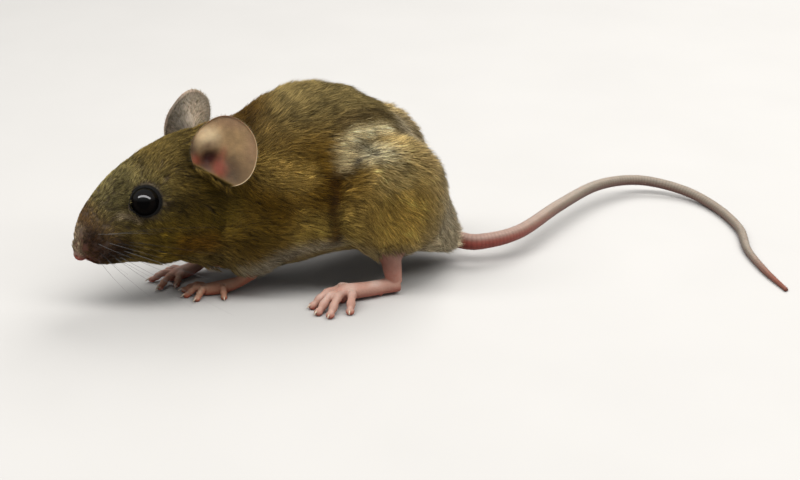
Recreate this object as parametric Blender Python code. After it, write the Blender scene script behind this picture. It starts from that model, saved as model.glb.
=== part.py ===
"""A young field mouse, still and life-size, crouched on a level floor with its head turned to its left.

Metres, +Z up. The nose points along -X and the mouse's left side is -Y. The origin is the middle of the
base of the whole model's box. The flesh is modelled out to the tips of the coat: a trunk and a head are
lofted from cross sections, haunches, shoulders and cheeks are fused to them, and the whole is then parted
along flat cuts into the head, neck, trunk, shoulders and thighs. Legs, feet, ears, eyes, nose, claws and
the lengths of the tail are solids of their own, each a small gap clear of what it grows from.
"""

import math
from dataclasses import dataclass

import bmesh
import bpy
from mathutils import Matrix, Vector

MM = 0.001

# ---------------------------------------------------------------- driving dimensions, in millimetres
GAP = 0.3  # between neighbouring solids
BODY_VOXEL = 0.8
BODY_TRIANGLES = 1400
FOOT_VOXEL = 0.25
FORE_TRIANGLES = 320
HIND_TRIANGLES = 400

NECK_PIVOT = (-14.0, 0.0)  # where the head turns
HEAD_TURN = 11.5  # degrees to the left
RING_SIDES = 28

EYE_RADIUS = 2.6
EYE_PLACE = (21.0, 5.9, 21.7)  # forward of the pivot, out to the side, up
EAR_SIZE = (6.0, 6.4)  # half width, half height
EAR_WALL = 0.7
NOSE_PLACE = (32.2, 0.0, 11.2)
NOSE_RADII = (1.5, 1.9, 1.35)
NOSE_TIP = -35  # degrees

LEFT, RIGHT = -1, 1


@dataclass(frozen=True)
class Section:
    """A cross section of the body: its place along it, top, bottom, half width and level of that width."""

    at: float
    top: float
    bottom: float
    half: float
    level: float


TRUNK = (
    Section(-19.0, 29.5, 4.2, 8.6, 15.0),
    Section(-15.5, 33.0, 2.7, 11.2, 15.0),
    Section(-12.0, 35.4, 2.7, 12.4, 15.5),
    Section(-7.0, 37.6, 3.8, 13.4, 16.5),
    Section(-2.0, 38.2, 5.3, 14.2, 17.5),
    Section(4.0, 37.0, 6.5, 14.8, 17.5),
    Section(9.5, 34.2, 6.4, 14.8, 17.0),
    Section(14.5, 30.1, 5.2, 13.8, 15.0),
    Section(18.8, 24.9, 3.8, 11.8, 12.5),
    Section(22.3, 18.6, 3.1, 8.8, 10.0),
    Section(24.7, 12.0, 3.0, 5.2, 7.0),
    Section(25.9, 8.0, 3.6, 2.4, 5.8),
)

HEAD = (
    Section(33.4, 14.4, 11.8, 1.2, 13.1),
    Section(32.7, 16.8, 10.5, 2.6, 13.2),
    Section(31.4, 19.4, 9.4, 3.5, 13.2),
    Section(29.4, 22.1, 8.7, 4.4, 13.4),
    Section(26.6, 24.8, 8.2, 5.3, 14.4),
    Section(23.5, 27.0, 8.2, 6.3, 15.6),
    Section(20.0, 28.9, 8.1, 7.3, 16.6),
    Section(16.0, 30.6, 7.4, 8.3, 17.0),
    Section(11.5, 31.7, 5.8, 9.0, 16.8),
    Section(7.0, 32.2, 4.1, 9.6, 16.6),
    Section(2.0, 32.9, 3.0, 10.6, 16.0),
    Section(-3.0, 33.4, 3.4, 11.2, 16.0),
)


# ---------------------------------------------------------------- small tools
def material(name, colour, roughness):
    """A plain Principled material of this colour and roughness."""
    made = bpy.data.materials.new(name)
    made.use_nodes = True
    shader = made.node_tree.nodes["Principled BSDF"]
    shader.inputs["Base Color"].default_value = (*colour, 1.0)
    shader.inputs["Roughness"].default_value = roughness
    return made


def mesh_object(name, build):
    """A new object whose mesh is filled by build(bmesh); build works in millimetres."""
    bm = bmesh.new()
    build(bm)
    bmesh.ops.triangulate(bm, faces=bm.faces)
    bmesh.ops.recalc_face_normals(bm, faces=bm.faces)
    mesh = bpy.data.meshes.new(name)
    bm.to_mesh(mesh)
    bm.free()
    made = bpy.data.objects.new(name, mesh)
    bpy.context.scene.collection.objects.link(made)
    return made


def remove(*objects):
    """Deletes helper objects."""
    for each in objects:
        bpy.data.objects.remove(each, do_unlink=True)


def settle(made):
    """Applies the modifiers of an object, keeping the object."""
    graph = bpy.context.evaluated_depsgraph_get()
    mesh = bpy.data.meshes.new_from_object(made.evaluated_get(graph))
    made.modifiers.clear()
    made.data = mesh
    return made


def cut(target, cutter, operation="DIFFERENCE", keep=False):
    """Applies a Boolean of the cutter to the target."""
    step = target.modifiers.new("cut", "BOOLEAN")
    step.operation = operation
    step.solver = "EXACT"
    step.object = cutter
    settle(target)
    if not keep:
        remove(cutter)
    return target


def copy(source, name):
    """A separate copy of an object."""
    made = bpy.data.objects.new(name, source.data.copy())
    bpy.context.scene.collection.objects.link(made)
    return made


def fused(name, pieces, voxel, triangles, smoothing=2):
    """One body from overlapping pieces: voxel remesh, a light smoothing and a reduction."""
    bm = bmesh.new()
    for piece in pieces:
        bm.from_mesh(piece.data)
    mesh = bpy.data.meshes.new(name)
    bm.to_mesh(mesh)
    bm.free()
    made = bpy.data.objects.new(name, mesh)
    bpy.context.scene.collection.objects.link(made)
    remove(*pieces)
    remesh = made.modifiers.new("remesh", "REMESH")
    remesh.mode = "VOXEL"
    remesh.voxel_size = voxel
    smooth = made.modifiers.new("smooth", "SMOOTH")
    smooth.factor = 0.5
    smooth.iterations = smoothing
    settle(made)
    count = sum(len(face.vertices) - 2 for face in made.data.polygons)
    reduce = made.modifiers.new("reduce", "DECIMATE")
    reduce.ratio = min(1.0, triangles / count)
    reduce.use_collapse_triangulate = True
    return settle(made)


def bridge(bm, rings):
    """Faces between equal closed rings of points, with both ends filled by a fan."""
    made = [[bm.verts.new(point) for point in ring] for ring in rings]
    for first, second in zip(made, made[1:]):
        count = len(first)
        for index in range(count):
            after = (index + 1) % count
            bm.faces.new((first[index], first[after], second[after], second[index]))
    for ring in (made[0], made[-1]):
        middle = bm.verts.new(sum((vert.co for vert in ring), Vector()) / len(ring))
        for index, vert in enumerate(ring):
            bm.faces.new((vert, ring[(index + 1) % len(ring)], middle))


def section_ring(section, place):
    """The closed outline of a section; place maps (along, side, up) to a point."""
    ring = []
    for index in range(RING_SIDES):
        angle = 2.0 * math.pi * index / RING_SIDES
        rise = math.sin(angle)
        reach = section.top - section.level if rise > 0 else section.level - section.bottom
        ring.append(place(section.at, section.half * math.cos(angle), section.level + reach * rise))
    return ring


def loft(name, sections, place):
    """A closed body through cross sections."""
    return mesh_object(name, lambda bm: bridge(bm, [section_ring(each, place) for each in sections]))


def ellipsoid(name, centre, radii, turn=None, sides=16, rows=10):
    """A ball stretched to these radii, turned by a rotation matrix."""

    def build(bm):
        bmesh.ops.create_uvsphere(bm, u_segments=sides, v_segments=rows, radius=1.0)
        spin = turn.to_4x4() if turn else Matrix.Identity(4)
        shape = Matrix.Translation(centre) @ spin @ Matrix.Diagonal((*radii, 1.0))
        bmesh.ops.transform(bm, matrix=shape, verts=bm.verts)

    return mesh_object(name, build)


def smooth_path(points, steps):
    """Points read from a Catmull-Rom curve through the given ones."""
    knots = [Vector(point) for point in points]
    knots = [2 * knots[0] - knots[1], *knots, 2 * knots[-1] - knots[-2]]
    path = []
    for index in range(1, len(knots) - 2):
        before, start, end, after = knots[index - 1 : index + 3]
        for step in range(steps):
            t = step / steps
            path.append(
                0.5
                * (
                    2 * start
                    + (end - before) * t
                    + (2 * before - 5 * start + 4 * end - after) * t * t
                    + (3 * start - before - 3 * end + after) * t * t * t
                )
            )
    path.append(knots[-2])
    return path


def blend(values, share):
    """The value at a share 0..1 along a list of evenly spaced values."""
    place = min(max(share, 0.0), 1.0) * (len(values) - 1)
    index = min(int(place), len(values) - 2)
    return values[index] + (values[index + 1] - values[index]) * (place - index)


def tube(name, path, radii, sides=8, flatten=0.0, floor=None):
    """A closed round tube along a path, its radii spread evenly; below the floor level it is flat."""

    def build(bm):
        rings = []
        side = None
        for index, point in enumerate(path):
            along = path[min(index + 1, len(path) - 1)] - path[max(index - 1, 0)]
            along.normalize()
            if side is None:
                side = along.cross(Vector((0, 0, 1)))
                if side.length < 0.2:
                    side = along.cross(Vector((0, 1, 0)))
            side = (side - along * side.dot(along)).normalized()
            up = side.cross(along)
            radius = blend(radii, index / (len(path) - 1))
            ring = []
            for step in range(sides):
                angle = 2.0 * math.pi * (step + 0.5) / sides
                spot = point + side * (radius * math.cos(angle))
                spot += up * (radius * (1.0 - flatten) * math.sin(angle))
                if floor is not None:
                    spot.z = max(spot.z, floor)
                ring.append(spot)
            rings.append(ring)
        bridge(bm, rings)

    return mesh_object(name, build)


def box(name, low, high):
    """A box between two corners."""

    def build(bm):
        size = [b - a for a, b in zip(low, high)]
        middle = [(a + b) / 2 for a, b in zip(low, high)]
        shape = Matrix.Translation(middle) @ Matrix.Diagonal((*size, 1.0))
        bmesh.ops.create_cube(bm, size=1.0, matrix=shape)

    return mesh_object(name, build)


def slab(name, point, normal, side):
    """All that lies on one side of a plane, half a gap clear of it."""
    turn = Vector(normal).to_track_quat("Z", "Y").to_matrix().to_4x4()
    reach = 120.0
    made = box(name, (-reach, -reach, GAP / 2), (reach, reach, reach))
    if side < 0:
        made.data.transform(Matrix.Rotation(math.pi, 4, "X"))
    made.data.transform(Matrix.Translation(point) @ turn)
    return made


def inflated(source, name, distance):
    """A copy with every point moved out along its normal."""
    made = copy(source, name)
    step = made.modifiers.new("inflate", "DISPLACE")
    step.strength = distance
    step.mid_level = 0.0
    return settle(made)


def head_point(forward, side, up):
    """A point given in the turned head's own directions: forward of the pivot, to the right, up."""
    turn = math.radians(HEAD_TURN)
    x = NECK_PIVOT[0] - forward * math.cos(turn) - side * math.sin(turn)
    y = NECK_PIVOT[1] - forward * math.sin(turn) + side * math.cos(turn)
    return Vector((x, y, up))


def body_point(along, side, up):
    """A point of the trunk, which lies straight along X."""
    return Vector((along, side, up))


# ---------------------------------------------------------------- flesh
HAUNCH_CENTRE = (11.0, 9.4, 18.2)
HAUNCH_RADII = (11.2, 6.6, 12.2)
SHOULDER_CENTRE = (-14.5, 7.4, 14.0)
SHOULDER_RADII = (8.0, 5.0, 10.0)
CHEEK_PLACE = (17.5, 3.6, 14.0)
CHEEK_RADII = (8.5, 4.4, 6.0)
PAD_PLACE = (28.8, 2.3, 12.2)
PAD_RADII = (3.2, 2.4, 3.0)


def flesh():
    """Trunk, head, haunches, shoulders, cheeks and whisker pads as one body, out to the coat's tips."""
    pieces = [loft("trunk_form", TRUNK, body_point), loft("head_form", HEAD, head_point)]
    turn = Matrix.Rotation(math.radians(HEAD_TURN), 3, "Z")
    for side in (LEFT, RIGHT):
        x, y, z = HAUNCH_CENTRE
        pieces.append(ellipsoid("haunch_form", (x, y * side, z), HAUNCH_RADII))
        x, y, z = SHOULDER_CENTRE
        pieces.append(ellipsoid("shoulder_form", (x, y * side, z), SHOULDER_RADII))
        forward, out, up = CHEEK_PLACE
        pieces.append(ellipsoid("cheek_form", head_point(forward, out * side, up), CHEEK_RADII, turn))
        forward, out, up = PAD_PLACE
        pieces.append(ellipsoid("pad_form", head_point(forward, out * side, up), PAD_RADII, turn))
    return fused("flesh", pieces, BODY_VOXEL, BODY_TRIANGLES, smoothing=10)


def prism(name, centre, radii, inner, outer, grow=0.0, sides=14):
    """An upright elliptical disc across Y from inner to outer, as a cutter."""

    def build(bm):
        rings = []
        for y in (inner, outer):
            ring = []
            for index in range(sides):
                angle = 2.0 * math.pi * index / sides
                x = centre[0] + (radii[0] + grow) * math.cos(angle)
                z = centre[1] + (radii[1] + grow) * math.sin(angle)
                ring.append(Vector((x, y, z)))
            rings.append(ring)
        bridge(bm, rings)

    return mesh_object(name, build)


# ---------------------------------------------------------------- ears, eyes and nose
EAR_PLACE = {LEFT: (6.9, 8.9, 30.0), RIGHT: (8.6, 8.3, 30.1)}  # forward, out, up
EAR_FACING = {LEFT: (0.30, 0.88, 0.36), RIGHT: (0.36, 0.92, 0.12)}  # where each dish opens
EAR_CANAL = (2.6, -2.9, -3.0)  # forward, up and inward of the rim's middle
EAR_ROWS = (0.0, 0.2, 0.45, 0.72, 1.0)
EAR_SIDES = 16
CANAL_RADIUS = 1.5


def ear_frame(side):
    """The ear's middle and its forward, up and outward directions."""
    forward, out, level = EAR_FACING[side]
    facing = (head_point(forward, out * side, level) - head_point(0, 0, 0)).normalized()
    up = Vector((0, 0, 1))
    up = (up - facing * up.dot(facing)).normalized()
    ahead = up.cross(facing) * side
    forward, out, level = EAR_PLACE[side]
    return head_point(forward, out * side, level), ahead, up, facing


def ear(side):
    """One ear: a thin dish that narrows into the ear canal, with its front edge laid back on the head."""
    middle, ahead, up, facing = ear_frame(side)

    def dish(share, angle, lift):
        spread = 1.0 - (1.0 - share) ** 1.5
        centre_ahead = EAR_CANAL[0] * (1.0 - spread)
        centre_up = EAR_CANAL[1] * (1.0 - spread)
        wide = CANAL_RADIUS + (EAR_SIZE[0] - CANAL_RADIUS) * spread
        high = CANAL_RADIUS + (EAR_SIZE[1] - CANAL_RADIUS) * spread
        depth = EAR_CANAL[2] * (1.0 - share) ** 2 - 0.9 * share * math.cos(angle) - lift
        spot = middle + ahead * (centre_ahead + wide * math.cos(angle))
        spot += up * (centre_up + high * math.sin(angle))
        return spot + facing * depth

    def build(bm):
        angles = [2.0 * math.pi * index / EAR_SIDES for index in range(EAR_SIDES)]
        inner = [[dish(share, angle, 0.0) for angle in angles] for share in EAR_ROWS]
        outer = [[dish(share, angle, EAR_WALL) for angle in angles] for share in EAR_ROWS]
        bridge(bm, [*inner, *reversed(outer)])

    return mesh_object("ear", build)


def eye_centre(side):
    """The middle of one eyeball."""
    return head_point(EYE_PLACE[0], EYE_PLACE[1] * side, EYE_PLACE[2])


def nose(name, grow=0.0):
    """The bare nose pad at the tip of the muzzle, tipped forward and down."""
    tip = Matrix.Rotation(math.radians(HEAD_TURN), 3, "Z") @ Matrix.Rotation(math.radians(NOSE_TIP), 3, "Y")
    radii = [radius + grow for radius in NOSE_RADII]
    return ellipsoid(name, head_point(*NOSE_PLACE), radii, tip, sides=10, rows=8)


# ---------------------------------------------------------------- legs and feet
@dataclass(frozen=True)
class Toe:
    """A toe in its foot's own directions: forward and outward of the ankle, from its root to its tip."""

    root: tuple
    tip: tuple
    arch: float = 0.9


@dataclass(frozen=True)
class Foot:
    """A foot: its ankle on the floor plan, its heading in degrees outward, its sole line and its toes."""

    name: str
    side: int
    ankle: tuple
    heading: float
    sole: tuple
    radii: tuple
    toes: tuple
    toe_radius: float
    triangles: int
    leg: str
    leg_line: tuple
    leg_radii: tuple

    def point(self, forward, out, up):
        """A point given forward and outward of the ankle."""
        turn = math.radians(self.heading)
        x = self.ankle[0] - forward * math.cos(turn) + out * math.sin(turn)
        y = self.ankle[1] + self.side * (forward * math.sin(turn) + out * math.cos(turn))
        return Vector((x, y, up))

    def leg_path(self):
        """The line of the lower leg, from inside the body down to the ankle."""
        return smooth_path(self.leg_line, LEG_STEPS)


HIND_TOES = (
    Toe((8.6, -1.3), (12.4, -2.9)),
    Toe((11.2, -1.2), (17.1, 0.3)),
    Toe((11.4, -0.3), (17.0, 3.2)),
    Toe((10.8, 0.3), (15.4, 5.3)),
    Toe((8.6, 0.5), (11.4, 5.4)),
)
HIND_SOLE = ((-0.6, 0.0, 1.8), (2.4, 0.0, 1.7), (6.4, 0.0, 1.8), (10.6, -0.3, 1.9))
HIND_RADII = (1.2, 1.3, 1.5, 1.75)
FORE_SOLE = ((0.0, 0.0, 1.9), (1.6, 0.0, 1.5), (4.0, 0.0, 1.15), (6.4, 0.0, 1.0))
FORE_RADII = (1.1, 1.25, 1.45, 1.4)
NEAR_FINGERS = (
    Toe((6.4, -1.1), (10.4, -1.9)),
    Toe((6.9, -0.4), (10.2, 0.5)),
    Toe((6.4, 0.4), (8.4, 2.6)),
    Toe((3.1, 0.5), (3.3, 3.2)),
)
FAR_FINGERS = (
    Toe((4.8, -0.8), (7.4, -3.2)),
    Toe((6.0, -0.3), (10.6, -2.2)),
    Toe((6.0, 0.6), (10.2, 1.9)),
    Toe((4.0, 0.9), (6.8, 3.3)),
)

SHANK_RADII = (2.5, 2.1, 1.9, 1.5)
FOREARM_RADII = (2.6, 2.1, 1.5, 1.15)


def hind_foot(name, side, ankle, leg):
    """A hind foot and its shank, whose line is given outward and up from the ankle."""
    line = tuple((ankle[0] + x, ankle[1] + y * side, z) for x, y, z in SHANK_LINE)
    return Foot(
        name, side, ankle, HIND_HEADING, HIND_SOLE, HIND_RADII, HIND_TOES, HIND_TOE_RADIUS,
        HIND_TRIANGLES, leg, line, SHANK_RADII,
    )


def fore_foot(name, side, ankle, heading, fingers, leg, line):
    """A forefoot and its forearm."""
    return Foot(
        name, side, ankle, heading, FORE_SOLE, FORE_RADII, fingers, FORE_TOE_RADIUS,
        FORE_TRIANGLES, leg, line, FOREARM_RADII,
    )


HIND_HEADING = 12.0
HIND_TOE_RADIUS = 0.84
FORE_TOE_RADIUS = 0.70
SHANK_LINE = ((-1.9, 0.1, 10.6), (-0.9, 0.3, 7.4), (-0.5, 0.1, 4.8), (-0.1, 0.0, 2.1))
NEAR_FOREARM = ((-12.6, -6.8, 10.0), (-13.4, -6.4, 6.6), (-15.2, -5.6, 3.6), (-17.2, -5.2, 1.9))
FAR_FOREARM = ((-16.6, 7.2, 10.0), (-18.4, 6.8, 6.6), (-21.2, 5.6, 3.6), (-23.4, 4.6, 1.9))
LEG_STEPS = 3

FEET = (
    hind_foot("hind_foot_l", LEFT, (11.4, -11.9), "shank_l"),
    hind_foot("hind_foot_r", RIGHT, (14.0, 11.9), "shank_r"),
    fore_foot("fore_foot_l", LEFT, (-17.2, -5.2), 2.0, NEAR_FINGERS, "forearm_l", NEAR_FOREARM),
    fore_foot("fore_foot_r", RIGHT, (-23.4, 4.6), -25.0, FAR_FINGERS, "forearm_r", FAR_FOREARM),
)

CLAW_START = 0.2  # of the toe radius
CLAW_CURVE = ((0.45, 0.02), (0.95, 0.35))  # forward and down from its root
CLAW_RADII = (0.30, 0.26, 0.12)
ANKLE_CUT = 0.78  # share of the lower leg's path at which leg and foot meet
TOE_SHARES = (0.0, 0.35, 0.7, 1.0)
TOE_LEVEL = 0.8  # of the toe radius, so that the pads are pressed a little flat


def lower_leg(foot, grow=0.0):
    """A lower leg as a tapering tube."""
    return tube(foot.leg, foot.leg_path(), [radius + grow for radius in foot.leg_radii], sides=8)


def ankle_cut(foot):
    """The point and direction of the flat cut between a lower leg and its foot."""
    path = foot.leg_path()
    place = round(ANKLE_CUT * (len(path) - 1))
    return path[place], (path[place + 1] - path[place - 1]).normalized()


def toe_path(foot, toe):
    """The line of a toe from its root over its knuckle to its pad."""
    low = foot.toe_radius * TOE_LEVEL
    points = []
    for share in TOE_SHARES:
        forward = toe.root[0] + (toe.tip[0] - toe.root[0]) * share
        out = toe.root[1] + (toe.tip[1] - toe.root[1]) * share
        arch = toe.arch * math.sin(math.pi * min(1.0, share * 1.25))
        points.append(foot.point(forward, out, low + arch))
    return smooth_path(points, 3)


def foot_body(foot):
    """Sole, toes and ankle stub as one body, flat where they stand on the floor."""
    pieces = []
    sole = smooth_path([foot.point(*each) for each in foot.sole], 4)
    pieces.append(tube("sole_form", sole, foot.radii, sides=12, flatten=0.12))
    for toe in foot.toes:
        path = toe_path(foot, toe)
        widths = (foot.toe_radius * 1.1, foot.toe_radius * 0.9, foot.toe_radius, foot.toe_radius * 0.8)
        pieces.append(tube("toe_form", path, widths, sides=10))
        pad = path[-2]
        pad_radii = (foot.toe_radius * 1.1, foot.toe_radius, foot.toe_radius)
        pieces.append(ellipsoid("toe_pad_form", pad, pad_radii, sides=10, rows=8))
    pieces.append(lower_leg(foot))
    made = fused(foot.name, pieces, FOOT_VOXEL, foot.triangles, smoothing=1)
    point, along = ankle_cut(foot)
    cut(made, slab("cut", point, along, 1), "INTERSECT")
    cut(made, box("cut", (-100, -100, 0), (100, 100, 50)), "INTERSECT")
    return made


def claw(foot, toe, name):
    """A small curved claw just clear of the toe's end."""
    path = toe_path(foot, toe)
    ahead = path[-1] - path[-2]
    ahead.z = 0
    ahead.normalize()
    start = path[-1] + ahead * (GAP + foot.toe_radius * CLAW_START)
    start.z = foot.toe_radius
    points = [start]
    for forward, drop in CLAW_CURVE:
        points.append(start + ahead * forward + Vector((0, 0, -drop)))
    return tube(name, points, CLAW_RADII, sides=5)


# ---------------------------------------------------------------- tail
TAIL_LINE = (
    (21.5, 0.9, 6.2),
    (26.2, -0.4, 4.5),
    (30.4, -2.5, 4.5),
    (39.0, -0.1, 4.8),
    (50.8, 11.2, 4.6),
    (62.5, 20.9, 4.2),
    (73.0, 24.2, 3.2),
    (81.4, 20.2, 1.9),
    (85.6, 12.0, 1.02),
    (86.2, 0.6, 0.86),
    (83.6, -9.6, 0.72),
    (83.0, -19.0, 0.6),
    (83.6, -27.0, 0.36),
)
TAIL_RADII = (1.9, 1.72, 1.6, 1.42, 1.28, 1.18, 1.12, 1.08, 1.02, 0.94, 0.8, 0.66, 0.4)
TAIL_STEPS = 4
TAIL_SIDES = 8
TAIL_LENGTHS = 5


def tail_lengths():
    """The tail in lengths laid end to end, flat below where it rests on the floor."""
    path = smooth_path(TAIL_LINE, TAIL_STEPS)
    total = len(path) - 1
    made = []
    for part in range(TAIL_LENGTHS):
        first = round(total * part / TAIL_LENGTHS)
        last = round(total * (part + 1) / TAIL_LENGTHS)
        points = [point.copy() for point in path[first : last + 1]]
        radii = [blend(TAIL_RADII, place / total) for place in range(first, last + 1)]
        if part:
            points[0] += (points[1] - points[0]).normalized() * (GAP / 2)
        if part < TAIL_LENGTHS - 1:
            points[-1] += (points[-2] - points[-1]).normalized() * (GAP / 2)
        made.append(tube(f"tail_{part + 1}", points, radii, sides=TAIL_SIDES, floor=0.0))
    return made


def tail_root(grow):
    """The first stretch of the tail made thicker, to cut its seat in the rump."""
    path = smooth_path(TAIL_LINE, TAIL_STEPS)[: 2 * TAIL_STEPS]
    steps = (len(TAIL_LINE) - 1) * TAIL_STEPS
    radii = [blend(TAIL_RADII, place / steps) + grow for place in range(len(path))]
    path[0] -= (path[1] - path[0]).normalized() * grow
    return tube("cut", path, radii, sides=TAIL_SIDES)


# ---------------------------------------------------------------- putting it together
HEAD_CUT = ((-17.6, 0.0, 20.0), (-0.94, -0.19, -0.28))
NECK_CUT = ((-10.6, 0.0, 20.0), (-0.98, -0.06, -0.16))
HAUNCH_INNER = 9.0
SHOULDER_INNER = 8.6
OUTER = 30.0

COLOURS = {
    "coat": ((0.20, 0.15, 0.075), 0.85),
    "ear": ((0.42, 0.27, 0.22), 0.6),
    "eye": ((0.004, 0.004, 0.005), 0.08),
    "nose": ((0.45, 0.16, 0.13), 0.45),
    "foot": ((0.60, 0.33, 0.28), 0.55),
    "claw": ((0.65, 0.52, 0.44), 0.4),
    "tail": ((0.36, 0.26, 0.24), 0.6),
}


def parted(body, piece, name, operation="INTERSECT"):
    """A node taken out of the body by a cutter, which is used up."""
    return cut(copy(body, name), piece, operation)


def body_nodes(ears):
    """Head, neck, trunk, shoulders and thighs, with seats for what grows from them."""
    body = flesh()
    outside = inflated(body, "outside", GAP)
    for each in ears:
        cut(each, outside, keep=True)
    remove(outside)
    for side in (LEFT, RIGHT):
        socket = ellipsoid("cut", eye_centre(side), [EYE_RADIUS + GAP] * 3, sides=12, rows=8)
        cut(body, socket)
    cut(body, nose("cut", GAP))
    cut(body, tail_root(GAP))
    for foot in FEET:
        cut(body, lower_leg(foot, GAP))

    nodes = []
    for name, side in (("l", LEFT), ("r", RIGHT)):
        for kind, centre, radii, inner in (
            ("thigh", HAUNCH_CENTRE, HAUNCH_RADII, HAUNCH_INNER),
            ("shoulder", SHOULDER_CENTRE, SHOULDER_RADII, SHOULDER_INNER),
        ):
            spot = (centre[0], centre[2])
            radius = (radii[0], radii[2])
            piece = prism("cut", spot, radius, inner * side, OUTER * side)
            nodes.append(parted(body, piece, f"{kind}_{name}"))
            room = prism("cut", spot, radius, (inner - GAP) * side, OUTER * side, GAP)
            cut(body, room)
    nodes.append(parted(body, slab("cut", *HEAD_CUT, 1), "head"))
    rest = cut(body, slab("cut", *HEAD_CUT, -1), "INTERSECT")
    nodes.append(parted(rest, slab("cut", *NECK_CUT, 1), "neck"))
    rest.name = "trunk"
    nodes.append(cut(rest, slab("cut", *NECK_CUT, -1), "INTERSECT"))
    return nodes


def main():
    """Clears the scene and models the mouse."""
    for old in list(bpy.data.objects):
        bpy.data.objects.remove(old, do_unlink=True)
    finishes = {name: material(name, *look) for name, look in COLOURS.items()}
    made = []

    def keep(objects, finish):
        for each in objects:
            each.data.materials.clear()
            each.data.materials.append(finishes[finish])
            made.append(each)

    ears = []
    for name, side in (("l", LEFT), ("r", RIGHT)):
        ears.append(ear(side))
        ears[-1].name = f"ear_{name}"
    keep(body_nodes(ears), "coat")
    keep(ears, "ear")
    for name, side in (("l", LEFT), ("r", RIGHT)):
        ball = ellipsoid(f"eye_{name}", eye_centre(side), [EYE_RADIUS] * 3, sides=14, rows=10)
        keep([ball], "eye")
    keep([nose("nose")], "nose")

    for foot in FEET:
        keep([foot_body(foot)], "foot")
        keep([cut(lower_leg(foot), slab("cut", *ankle_cut(foot), -1), "INTERSECT")], "foot")
        for number, toe in enumerate(foot.toes, 1):
            claw_name = foot.name.replace("foot", "claw") + f"_{number}"
            keep([claw(foot, toe, claw_name)], "claw")
    keep(tail_lengths(), "tail")

    corners = [each.data.vertices[i].co for each in made for i in range(len(each.data.vertices))]
    middle_x = (min(c.x for c in corners) + max(c.x for c in corners)) / 2
    middle_y = (min(c.y for c in corners) + max(c.y for c in corners)) / 2
    low = min(c.z for c in corners)
    place = Matrix.Scale(MM, 4) @ Matrix.Translation((-middle_x, -middle_y, -low))
    for each in made:
        each.data.transform(place)
        each.data.shade_smooth()
        each.data.set_sharp_from_angle(angle=math.radians(50))


if __name__ == "__main__":
    main()
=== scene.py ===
"""The looks of a young field mouse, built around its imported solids.

Everything is worked out in the mouse's own layout, in millimetres: the nose points along -X, the left side
is -Y and Z is up. The layout is found again in the frame from the eyes and the nose. One skin stands for
the solids of flesh and lies inside them by the depth of the coat. The coat is made of closed,
spindle-shaped hairs drawn together in tufts, whose tips reach out to the solids' surface.
"""

from __future__ import annotations

import logging
import math
from dataclasses import dataclass, field
from enum import Enum
from typing import Any, Sequence

import bpy
import numpy as np
from mathutils import Matrix, Vector

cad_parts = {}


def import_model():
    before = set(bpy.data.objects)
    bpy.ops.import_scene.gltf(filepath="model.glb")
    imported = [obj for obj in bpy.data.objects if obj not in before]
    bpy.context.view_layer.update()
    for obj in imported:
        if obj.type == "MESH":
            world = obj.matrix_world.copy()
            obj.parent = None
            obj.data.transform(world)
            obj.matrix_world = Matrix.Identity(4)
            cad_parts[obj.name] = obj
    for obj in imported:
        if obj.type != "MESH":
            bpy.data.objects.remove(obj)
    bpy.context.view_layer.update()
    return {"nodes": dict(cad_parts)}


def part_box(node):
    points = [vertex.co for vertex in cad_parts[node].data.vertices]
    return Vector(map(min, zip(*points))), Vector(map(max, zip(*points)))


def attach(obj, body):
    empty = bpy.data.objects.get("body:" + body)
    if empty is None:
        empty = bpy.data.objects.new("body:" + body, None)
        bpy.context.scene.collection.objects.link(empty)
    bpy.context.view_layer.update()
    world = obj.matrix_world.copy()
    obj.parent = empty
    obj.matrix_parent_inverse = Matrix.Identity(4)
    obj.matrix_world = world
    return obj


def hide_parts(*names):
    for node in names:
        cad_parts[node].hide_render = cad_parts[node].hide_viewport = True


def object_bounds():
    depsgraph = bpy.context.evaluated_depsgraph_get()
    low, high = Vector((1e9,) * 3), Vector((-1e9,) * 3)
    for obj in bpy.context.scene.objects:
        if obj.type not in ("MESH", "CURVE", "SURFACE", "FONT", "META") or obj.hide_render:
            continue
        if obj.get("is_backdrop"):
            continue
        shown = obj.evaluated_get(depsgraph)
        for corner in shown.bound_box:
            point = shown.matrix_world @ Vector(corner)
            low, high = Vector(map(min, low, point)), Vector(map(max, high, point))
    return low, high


MM = 0.001
WELD = 0.0005  # how near, in millimetres, points are one point
SEED = 20
ROOT_BODY = "root"
LOG = logging.getLogger("field_mouse")

Array = np.ndarray
Pair = tuple[float, float]
Triple = tuple[float, float, float]
Four = tuple[Array, Array, Array, Array]
Nodes = dict[str, bpy.types.Object]
Random = np.random.Generator
Values = dict[str | int, Any]


class Side(Enum):
    """The mouse's two sides, with the sign of their Y in the layout."""

    LEFT = -1
    RIGHT = 1

    @property
    def letter(self) -> str:
        """The ending that this side's nodes have."""
        return "l" if self is Side.LEFT else "r"


# ---- number tools
def unit(vectors: Array) -> Array:
    """Scales vectors to length one."""
    length = np.linalg.norm(vectors, axis=-1, keepdims=True)
    return vectors / np.maximum(length, 1e-9)


def shares(count: int) -> Array:
    """Even steps from 0 to 1."""
    return np.linspace(0.0, 1.0, count)


def ease(low: float, high: float, value: Array) -> Array:
    """A smooth step from 0 at low to 1 at high."""
    share = np.clip((value - low) / (high - low), 0.0, 1.0)
    return share * share * (3.0 - 2.0 * share)


def bump_at(value: Array, middle: float, reach: float) -> Array:
    """A smooth hump of height 1 at the middle that falls to nothing about two reaches away."""
    return np.exp(-(((value - middle) / reach) ** 2))


def linear(colour: Triple) -> Array:
    """Turns a colour as seen on a screen, 0 to 1, into light values."""
    seen = np.asarray(colour, float)
    return np.where(seen <= 0.04045, seen / 12.92, ((seen + 0.055) / 1.055) ** 2.4)


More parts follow.
